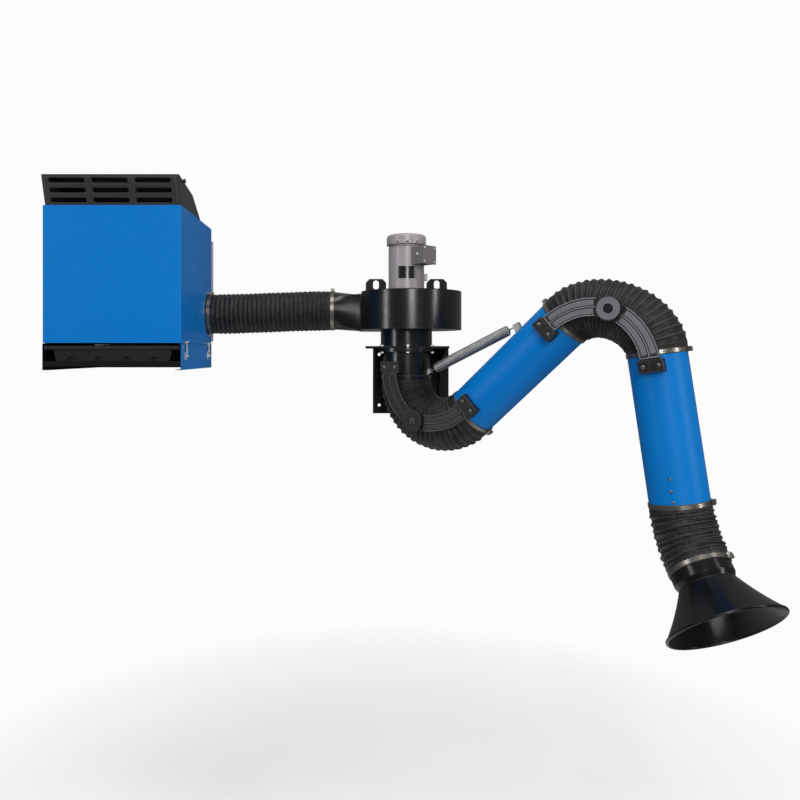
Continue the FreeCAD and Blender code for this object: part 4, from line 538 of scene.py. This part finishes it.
make_bend_hose("shoulder_hose_ribs", "shoulder_hose", swivel_end, -UP, arm_out,
               math.pi / 2 + UPPER_ELEVATION, SHOULDER_RIBS, SHOULDER_PULL)
make_bend_hose("elbow_hose_ribs", "elbow_hose", upper_end, along_upper, -across_upper,
               math.pi / 2 + UPPER_ELEVATION - LOWER_LEAN, ELBOW_RIBS, ELBOW_PULL)


def make_duct_hose():
    """Nearly level hose between the blower's spigot and the cabinet's collar."""
    low, high = map(Vector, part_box("duct_hose"))
    length = high.x - low.x
    drop = (low.z + DUCT_CREST) - (high.z - DUCT_CREST)
    start = Vector((high.x, (low.y + high.y) / 2, high.z - DUCT_CREST))

    def path(distance):
        share = min(max(distance / length, 0), 1)
        ease = share * share * (3 - 2 * share)
        slope = drop / length * 6 * share * (1 - share)
        return start + Vector((-distance, 0, drop * ease)), Vector((-1, 0, slope)).normalized()

    piece = hose_piece("duct_hose_ribs", path, length, DUCT_RIBS, DUCT_RADII, Vector((0, 1, 0)), True, True,
                       DUCT_GATHER)
    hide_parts("duct_hose")
    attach(piece, "wall_unit")


make_duct_hose()


def make_hood_hose():
    """Two halves that meet at the gimbal."""
    neck = hood_joint + hood_axis * HOOD_NECK_DROP
    free = (neck - lower_end).length
    path = cuffed_path(lower_end, along_lower, neck, hood_axis, free * HOOD_HOSE_PULL, free)
    half = free / 2 + HOSE_CUFF
    upper = hose_piece("hood_hose_upper_pleats", path, half, HOOD_PLEATS // 2, ARM_HOSE_RADII, arm_side,
                       True, False, HOOD_GATHER)
    lower = hose_piece("hood_hose_lower_pleats", lambda distance: path(half + distance), half,
                       HOOD_PLEATS // 2, ARM_HOSE_RADII, arm_side, False, True, HOOD_GATHER)
    for piece in (upper, lower):
        piece.data.materials[0] = hood_cloth
    middle, _ = path(half)
    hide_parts("hood_hose")
    tuple(middle)
    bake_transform(upper)
    tuple(middle)
    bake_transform(lower)


make_hood_hose()


# Counterbalance spring

def make_spring():
    """Close-coiled wire between the two hooks, with a straight lead at each end."""
    low = Vector((0, swivel_axis.y, SPRING_LOW[1])) + arm_out * SPRING_LOW[0]
    high = upper_start + along_upper * SPRING_HIGH[0] + across_upper * SPRING_HIGH[1]
    axis = (high - low).normalized()
    side = arm_side
    up = axis.cross(side)
    run = (high - low).length - 2 * SPRING_LEAD
    points = [low, low + axis * SPRING_WIRE * 2]
    for number in range(SPRING_SAMPLES * SPRING_TURNS + 1):
        turns = number / SPRING_SAMPLES
        angle = 2 * math.pi * turns
        fade = min(1.0, turns, SPRING_TURNS - turns)
        radius = SPRING_COIL * math.sin(fade * math.pi / 2) ** 0.5
        points.append(low + axis * (SPRING_LEAD + run * turns / SPRING_TURNS)
                      + (side * math.cos(angle) + up * math.sin(angle)) * radius)
    points += [high - axis * SPRING_WIRE * 2, high]
    mesh_work = bmesh.new()
    loops = []
    for number, point in enumerate(points):
        before = points[max(number - 1, 0)]
        after = points[min(number + 1, len(points) - 1)]
        tangent = (after - before).normalized()
        reference = axis if 1 < number < len(points) - 2 else side
        ring = ring_points(point, tangent, reference, SPRING_WIRE, WIRE_SIDES)
        loops.append([mesh_work.verts.new(place) for place in ring])
    closed_strip(mesh_work, loops)
    piece = finished("spring_coil", mesh_work, "zinc_steel")
    piece.data.materials[0] = spring_zinc
    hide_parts("counter_spring")
    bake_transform(piece)


make_spring()


# Small fasteners

# Rounded head of a screw, sunk a little into its seat, in shares of its radius and height
PAN_HEAD = ((0.98, -0.3), (1, 0.35), (0.9, 0.72), (0.62, 1), (0.42, 1), (0.36, 0.45))
SHARP_FLAT = 30
SHARP_TURNED = 40


def make_screws(name, places, size, slot_name, body):
    """One piece with a screw head at each place; a place is a point and its outward direction."""
    radius, height = size
    profile = [(radius * across, height * up) for across, up in PAN_HEAD]
    mesh_work = bmesh.new()
    for point, outward in places:
        lathe(mesh_work, profile, looking(point, outward))
    piece = finished(name, mesh_work, slot_name, SHARP_TURNED)
    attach(piece, body)


LINK_SCREW = (0.0065, 0.004)
LINK_SCREW_LIFT = 0.024
PAD_CENTRE = 0.0203
PAD_HALF = (0.0185, 0.0195)
PAD_CORNER = 0.003
PAD_HEIGHTS = (-0.001, 0.0014, 0.0022)
PAD_SOFT = 0.0009
RIVET = (0.005, 0.003)
RIVET_STEPS = (0.100, 0.060, 0.026)

# Each link by its tube's end, the way beyond that end, the way to the inner side, and if it lies on top
base_links = (swivel_end, -UP, arm_out, True)
arm_links = (upper_start, -along_upper, across_upper, False)
elbow_upper_links = (upper_end, along_upper, -across_upper, True)
elbow_lower_links = (lower_start, -along_lower, -across_lower, False)


def link_face(over):
    """Distance of a link's outer face from the arm's middle."""
    return LINK_UNDER + LINK_THICK + (LINK_THICK + LINK_GAP if over else 0)


def foot_middle(tube_end, beyond):
    """Point on the tube's axis beside the middle of a link's foot."""
    return tube_end - beyond * (LINK_INSET + LINK_FOOT / 2)


def link_screw_places(tube_end, beyond, inner, over):
    """Two screws on the outer face of each link's foot, on both sides of the arm."""
    middle = foot_middle(tube_end, beyond)
    places = []
    for way in (-1, 1):
        for lift in (-LINK_SCREW_LIFT, LINK_SCREW_LIFT):
            places.append((middle + inner * lift + arm_side * (link_face(over) * way), arm_side * way))
    return places


def pad_outline(half_wide, half_long):
    """Outline of a pad with its corners cut, as pairs across and along the foot."""
    wide, long = half_wide - PAD_CORNER, half_long - PAD_CORNER
    return [(half_wide, long), (wide, half_long), (-wide, half_long), (-half_wide, long),
            (-half_wide, -long), (-wide, -half_long), (wide, -half_long), (half_wide, -long)]


def add_link_pads(mesh_work, tube_end, beyond, inner, over):
    """Two halves of each link's clamping foot, as raised pads with a seam between them."""
    middle = foot_middle(tube_end, beyond)
    half_wide, half_long = PAD_HALF
    for way in (-1, 1):
        for lift in (-PAD_CENTRE, PAD_CENTRE):
            loops = []
            for inset, height in zip((0, 0, PAD_SOFT), PAD_HEIGHTS):
                centre = middle + inner * lift + arm_side * ((link_face(over) + height) * way)
                loops.append([mesh_work.verts.new(centre + inner * across + beyond * along)
                              for across, along in pad_outline(half_wide - inset, half_long - inset)])
            closed_strip(mesh_work, loops)


def make_link_feet(name, links, body):
    """Pads and screws on the feet of the links that one body carries."""
    mesh_work = bmesh.new()
    for link in links:
        add_link_pads(mesh_work, *link)
    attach(finished(name + "_link_pads", mesh_work, "link_plastic", SHARP_FLAT), body)
    places = [place for link in links for place in link_screw_places(*link)]
    make_screws(name + "_link_screws", places, LINK_SCREW, "clamp_steel", body)


make_link_feet("swivel", (base_links,), "swivel")
make_link_feet("upper", (arm_links, elbow_upper_links), "upper_arm")
make_link_feet("lower", (elbow_lower_links,), "lower_arm")

rivets = [(lower_end - along_lower * step + arm_side * (TUBE_RADIUS * way), arm_side * way)
          for step in RIVET_STEPS for way in (-1, 1)]
make_screws("yoke_rivets", rivets, RIVET, "clamp_steel", "lower_arm")


# Panels in the channels of the links, and painted highlights along their ribs

PANEL_MARGIN = 0.0024
PANEL_SINK = 0.0014
PANEL_THICK = 0.0018
PANEL_SHARES = (0.075, 0.775)
PANEL_STEPS = 24
PANEL_GREY = (0.095, 0.099, 0.108)
DISC_RING = (0.016, 0.0378)
DISC_PANEL_RISE = 0.0006
RING_SOFT = 0.6
# Strips of painted highlight along the links' ribs: width, rise, and shares of the span
RIB_HIGHLIGHT_WIDTH = 0.0026
RIB_HIGHLIGHT_RISE = 0.0004
RIB_HIGHLIGHT_SHARES = (0.02, 0.80)
FOOT_HIGHLIGHT_SHARES = (0.022, 0.036)

link_run = LINK_REACH + LINK_INSET
link_curve = (link_run ** 2 + LINK_OFFSET ** 2) / (2 * LINK_OFFSET)
link_span = math.atan2(link_run, link_curve - LINK_OFFSET)


def slab(mesh_work, near_edge, far_edge, drop):
    """Closed strip between two edges of points, with the drop as its thickness."""
    loops = []
    for near, far in zip(near_edge, far_edge):
        loops.append([mesh_work.verts.new(point) for point in (near, far, far + drop, near + drop)])
    closed_strip(mesh_work, loops)


def link_place(link, way):
    """Function from a radius and angle on a link's curve, and a height over its outer face, to a point."""
    tube_end, beyond, inner, over = link
    outward = arm_side * way
    face = link_face(over)

    def place(radius, angle, height):
        return (tube_end + beyond * (radius * math.sin(angle) - LINK_INSET)
                + inner * (link_curve - radius * math.cos(angle)) + outward * (face + height))

    return place, outward


def arc_slab(mesh_work, place, drop, radii, shares, height):
    """Curved strip on a link between two radii and two shares of its span."""
    near, far = radii
    start, stop = shares
    angles = [link_span * (start + (stop - start) * step / PANEL_STEPS) for step in range(PANEL_STEPS + 1)]
    slab(mesh_work, [place(near, angle, height) for angle in angles],
         [place(far, angle, height) for angle in angles], drop)


def add_link_panels(mesh_work, link):
    """Lighter floors in both channels of the link on each side of the arm, and the ring on its disc."""
    half = LINK_WIDTH / 2
    channels = [(link_curve + LINK_RIB / 2, link_curve + half - LINK_RIB),
                (link_curve - half + LINK_RIB, link_curve - LINK_RIB / 2)]
    for way in (-1, 1):
        place, outward = link_place(link, way)
        for near, far in channels:
            arc_slab(mesh_work, place, outward * -PANEL_THICK, (near + PANEL_MARGIN, far - PANEL_MARGIN),
                     PANEL_SHARES, -PANEL_SINK)
        if link[-1]:
            pivot = looking(place(link_curve, link_span, LINK_DISC_RISE), outward)
            turned_ring(mesh_work, *DISC_RING, DISC_PANEL_RISE, pivot)


def add_rib_highlights(mesh_work, link):
    """Lighter lines along the three ribs of a link and across its foot, as painted highlights on the rib edges."""
    half = LINK_WIDTH / 2
    edge = half - LINK_RIB / 2
    for way in (-1, 1):
        place, outward = link_place(link, way)
        drop = outward * (-2 * RIB_HIGHLIGHT_RISE)
        for offset in (-edge, 0, edge):
            radii = (link_curve + offset - RIB_HIGHLIGHT_WIDTH / 2, link_curve + offset + RIB_HIGHLIGHT_WIDTH / 2)
            arc_slab(mesh_work, place, drop, radii, RIB_HIGHLIGHT_SHARES, RIB_HIGHLIGHT_RISE)
        foot_radii = (link_curve - edge, link_curve + edge)
        arc_slab(mesh_work, place, drop, foot_radii, FOOT_HIGHLIGHT_SHARES, RIB_HIGHLIGHT_RISE)


def turned_ring(mesh_work, inner_edge, outer_edge, rise, place, count=64):
    """Flat ring with softened edges that stands a little proud of its seat."""
    soft = rise * RING_SOFT
    profile = [(inner_edge, -rise), (inner_edge, rise - soft), (inner_edge + soft, rise),
               (outer_edge - soft, rise), (outer_edge, rise - soft), (outer_edge, -rise)]
    bridge(mesh_work, turned_loops(mesh_work, profile, place, count), True)


def make_link_piece(name, add, link, body, light_share):
    """Panels or rib highlights of a pair of links, in a share of the moulding's light grey; the low shares on the
    shoulder's links are painted shade.
    """
    mesh_work = bmesh.new()
    add(mesh_work, link)
    piece = finished(name, mesh_work, "link_plastic", SHARP_FLAT)
    colour = tuple(part * light_share for part in PANEL_GREY)
    piece.data.materials[0] = plastic(name, colour, colour, rough=0.52, grain=1400.0, grain_strength=0.2,
                                      level=0.25)
    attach(piece, body)


# Each pair of links with its body, and the shares of light grey for its panels and rib highlights; the low shares
# on the shoulder's links paint the shade that falls there
LINK_LIGHT_SHARES = (("base_link", base_links, "swivel", 0.11, 0.38),
               ("arm_link", arm_links, "upper_arm", 0.27, 0.52),
               ("elbow_upper_link", elbow_upper_links, "upper_arm", 1.0, 1.6),
               ("elbow_lower_link", elbow_lower_links, "lower_arm", 1.0, 1.6))
for link_name, link, link_body, panel_light_share, rib_highlight_share in LINK_LIGHT_SHARES:
    make_link_piece(link_name + "_panels", add_link_panels, link, link_body, panel_light_share)
    make_link_piece(link_name + "_rib_highlights", add_rib_highlights, link, link_body, rib_highlight_share)


# Motor's blank plate and screws, the grille's knob, and a dark strip behind the tray, put in as painted shade for
# the gap there

MOTOR_RADIUS = 0.0715
MOTOR_BASE = 0.360
TERMINAL_AZIMUTH = math.radians(-48)
TERMINAL_BASE = 0.104
TERMINAL_SIZE = (0.070, 0.068)
TERMINAL_FACE = 0.128
TERMINAL_SCREW_OUT = 0.095
PLATE_HALF_ANGLE = math.radians(30)
PLATE_HEIGHTS = (0.050, 0.098)
PLATE_THICK = 0.0008
PLATE_STEPS = 24
EARTH_SCREW = (0.006, 0.005)
EARTH_LIFT = 0.004
COVER_SCREW = (0.004, 0.003)
COVER_INSET = 0.008


def make_motor_plate():
    """Blank dark plate that wraps the front of the motor's frame."""
    bottom, top = PLATE_HEIGHTS
    inner, outer = MOTOR_RADIUS - PLATE_THICK, MOTOR_RADIUS + PLATE_THICK
    mesh_work = bmesh.new()
    loops = []
    for step in range(PLATE_STEPS + 1):
        angle = -math.pi / 2 + PLATE_HALF_ANGLE * (2 * step / PLATE_STEPS - 1)
        way = Vector((math.cos(angle), math.sin(angle), 0))
        loop = []
        for radius, height in ((inner, bottom), (outer, bottom), (outer, top), (inner, top)):
            loop.append(mesh_work.verts.new(Vector((0, swivel_axis.y, MOTOR_BASE + height)) + way * radius))
        loops.append(loop)
    closed_strip(mesh_work, loops)
    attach(finished("motor_plate", mesh_work, "black_paint", SHARP_FLAT), "wall_unit")


def make_terminal_screws():
    """One earth screw on the box's left side and four on its cover."""
    out = Vector((math.cos(TERMINAL_AZIMUTH), math.sin(TERMINAL_AZIMUTH), 0))
    side = Vector((out.y, -out.x, 0))
    width, height = TERMINAL_SIZE
    middle = Vector((0, swivel_axis.y, MOTOR_BASE + TERMINAL_BASE + height / 2))
    earth = [(middle + out * TERMINAL_SCREW_OUT + side * (width / 2) + UP * EARTH_LIFT, side)]
    make_screws("earth_screw", earth, EARTH_SCREW, "zinc_steel", "wall_unit")
    face = middle + out * TERMINAL_FACE
    across = side * (width / 2 - COVER_INSET)
    lift = UP * (height / 2 - COVER_INSET)
    corners = [(face + across * right + lift * high, out) for right in (-1, 1) for high in (-1, 1)]
    make_screws("cover_screws", corners, COVER_SCREW, "zinc_steel", "wall_unit")


SHADE_STRIP_DEPTH = (-0.084, -0.070)
SHADE_STRIP_HEIGHTS = (0.1508, 0.1658)
SHADE_STRIP_EDGE = 0.003
KNOB_INSET = (0.062, 0.013)
KNOB_SINK = 0.0005
KNOB_PROFILE = ((0.0045, -0.003), (0.0045, 0.004), (0.0075, 0.005), (0.0080, 0.007), (0.0080, 0.011),
                (0.0068, 0.0125), (0.002, 0.013))


def make_gap_shade_strip():
    """Dark strip in the gap between the skirt's back wall and the plenum over it, put there as painted shade that
    keeps the gap dark.
    """
    low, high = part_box("cabinet_cover")
    front, back = SHADE_STRIP_DEPTH
    bottom, top = SHADE_STRIP_HEIGHTS
    outline = [(front, bottom), (back, bottom), (back, top - SHADE_STRIP_EDGE), (back - SHADE_STRIP_EDGE, top),
               (front + SHADE_STRIP_EDGE, top), (front, top - SHADE_STRIP_EDGE)]
    mesh_work = bmesh.new()
    loops = [[mesh_work.verts.new((along, depth, height)) for depth, height in outline]
             for along in (low[0] + SHADE_STRIP_EDGE, high[0] - SHADE_STRIP_EDGE)]
    closed_strip(mesh_work, loops)
    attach(finished("gap_shade_strip", mesh_work, "tray_black", SHARP_FLAT), "wall_unit")


def make_grille_knob():
    """Thumb screw that holds the grille on its right side."""
    low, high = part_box("exhaust_grille")
    place = Vector((high[0] - KNOB_SINK, low[1] + KNOB_INSET[0], high[2] - KNOB_INSET[1]))
    mesh_work = bmesh.new()
    lathe(mesh_work, KNOB_PROFILE, looking(place, Vector((1, 0, 0))))
    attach(finished("grille_knob", mesh_work, "charcoal_plastic", SHARP_TURNED), "wall_unit")


make_motor_plate()
make_terminal_screws()
make_gap_shade_strip()
make_grille_knob()


# Floor, light and camera

PHOTO_PIXELS = 800
FOCAL_PIXELS = 750
AXIS_PIXEL = (367, 353)
CAMERA_PLACE = (-0.158, -3.263, 0.116)
SENSOR_MM = 36
FLOOR_HEIGHT = -2.0
FLOOR_RADII = (0.9, 2.6)
FLOOR_HALF = 14
FLOOR_TONES = ((0.84, 0.84, 0.84), (0.88, 0.88, 0.88))
FLOOR_ROUGH = 0.7
FLOOR_GLOW = 0.15
WORLD_SEEN = (0.97, 0.97, 0.97)
WORLD_LOW = (0.12, 0.122, 0.126)
WORLD_HIGH = (0.45, 0.455, 0.465)
WORLD_RANGE = (-0.2, 1.0)
# Each lamp's name, place, aim, size and power
LAMPS = (("front", (0.25, -4.4, 1.5), (-0.1, -0.4, 0.1), (0.7, 2.2), 98),
         ("left", (-3.4, -2.4, 0.9), (0.0, -0.3, 0.1), (0.5, 2.6), 45),
         ("right", (3.0, -2.4, 0.7), (0.4, -0.4, 0.0), (0.4, 2.6), 40),
         ("low", (0.8, -3.4, -1.3), (0.3, -0.5, 0.0), (1.6, 0.8), 22),
         ("top", (0.0, -1.3, 3.0), (0.0, -0.4, 0.0), (3.2, 1.4), 60))


def make_camera():
    """Level camera with the photograph's focal length and its axis off the picture's middle."""
    data = bpy.data.cameras.new("camera")
    data.sensor_width = SENSOR_MM
    data.lens = SENSOR_MM * FOCAL_PIXELS / PHOTO_PIXELS
    data.shift_x = (PHOTO_PIXELS / 2 - AXIS_PIXEL[0]) / PHOTO_PIXELS
    data.shift_y = (AXIS_PIXEL[1] - PHOTO_PIXELS / 2) / PHOTO_PIXELS
    camera = bpy.data.objects.new("camera", data)
    camera.location = CAMERA_PLACE
    camera.rotation_euler = (math.pi / 2, 0, 0)
    bpy.context.scene.collection.objects.link(camera)
    bpy.context.scene.camera = camera


def make_floor():
    """Pale floor that fades out with the distance from the object."""
    mesh_work = bmesh.new()
    bmesh.ops.create_grid(mesh_work, x_segments=1, y_segments=1, size=FLOOR_HALF)
    mesh = bpy.data.meshes.new("floor")
    mesh_work.to_mesh(mesh)
    mesh_work.free()
    material, tree, shader, place = node_tree("pale_floor")
    cloud = spread(tree, noise(tree, place, scale=1.5), 0.0, 1.0)
    tree.links.new(mix_colours(tree, cloud, *FLOOR_TONES), shader.inputs["Base Color"])
    shader.inputs["Roughness"].default_value = FLOOR_ROUGH
    shader.inputs["Emission Color"].default_value = (1, 1, 1, 1)
    shader.inputs["Emission Strength"].default_value = FLOOR_GLOW
    reach = tree.nodes.new("ShaderNodeVectorMath")
    reach.operation = "LENGTH"
    tree.links.new(place, reach.inputs[0])
    tree.links.new(spread(tree, reach.outputs["Value"], 1.0, 0.0, *FLOOR_RADII), shader.inputs["Alpha"])
    mesh.materials.append(material)
    floor = bpy.data.objects.new("floor", mesh)
    floor.location = (0, 0, FLOOR_HEIGHT)
    bpy.context.scene.collection.objects.link(floor)


def make_light(name, place, aim, size, power):
    """Rectangular lamp that faces its aim."""
    data = bpy.data.lights.new(name, "AREA")
    data.shape = "RECTANGLE"
    data.size, data.size_y = size
    data.energy = power
    light = bpy.data.objects.new(name, data)
    light.location = place
    light.rotation_euler = (Vector(aim) - Vector(place)).to_track_quat("-Z", "Y").to_euler()
    bpy.context.scene.collection.objects.link(light)


def make_world():
    """White seen directly, and a dimmer room with a light ceiling as the light on the object."""
    world = bpy.data.worlds.new("studio")
    world.use_nodes = True
    tree = world.node_tree
    back = tree.nodes["Background"]
    place = tree.nodes.new("ShaderNodeTexCoord")
    axes = tree.nodes.new("ShaderNodeSeparateXYZ")
    tree.links.new(place.outputs["Generated"], axes.inputs["Vector"])
    height = spread(tree, axes.outputs["Z"], 0.0, 1.0, *WORLD_RANGE)
    room = mix_colours(tree, height, WORLD_LOW, WORLD_HIGH)
    rays = tree.nodes.new("ShaderNodeLightPath")
    seen = mix_colours(tree, rays.outputs["Is Camera Ray"], room, WORLD_SEEN)
    tree.links.new(seen, back.inputs["Color"])
    bpy.context.scene.world = world


make_camera()
make_floor()
make_world()
for lamp in LAMPS:
    make_light(*lamp)
bpy.context.scene.view_settings.view_transform = "Standard"
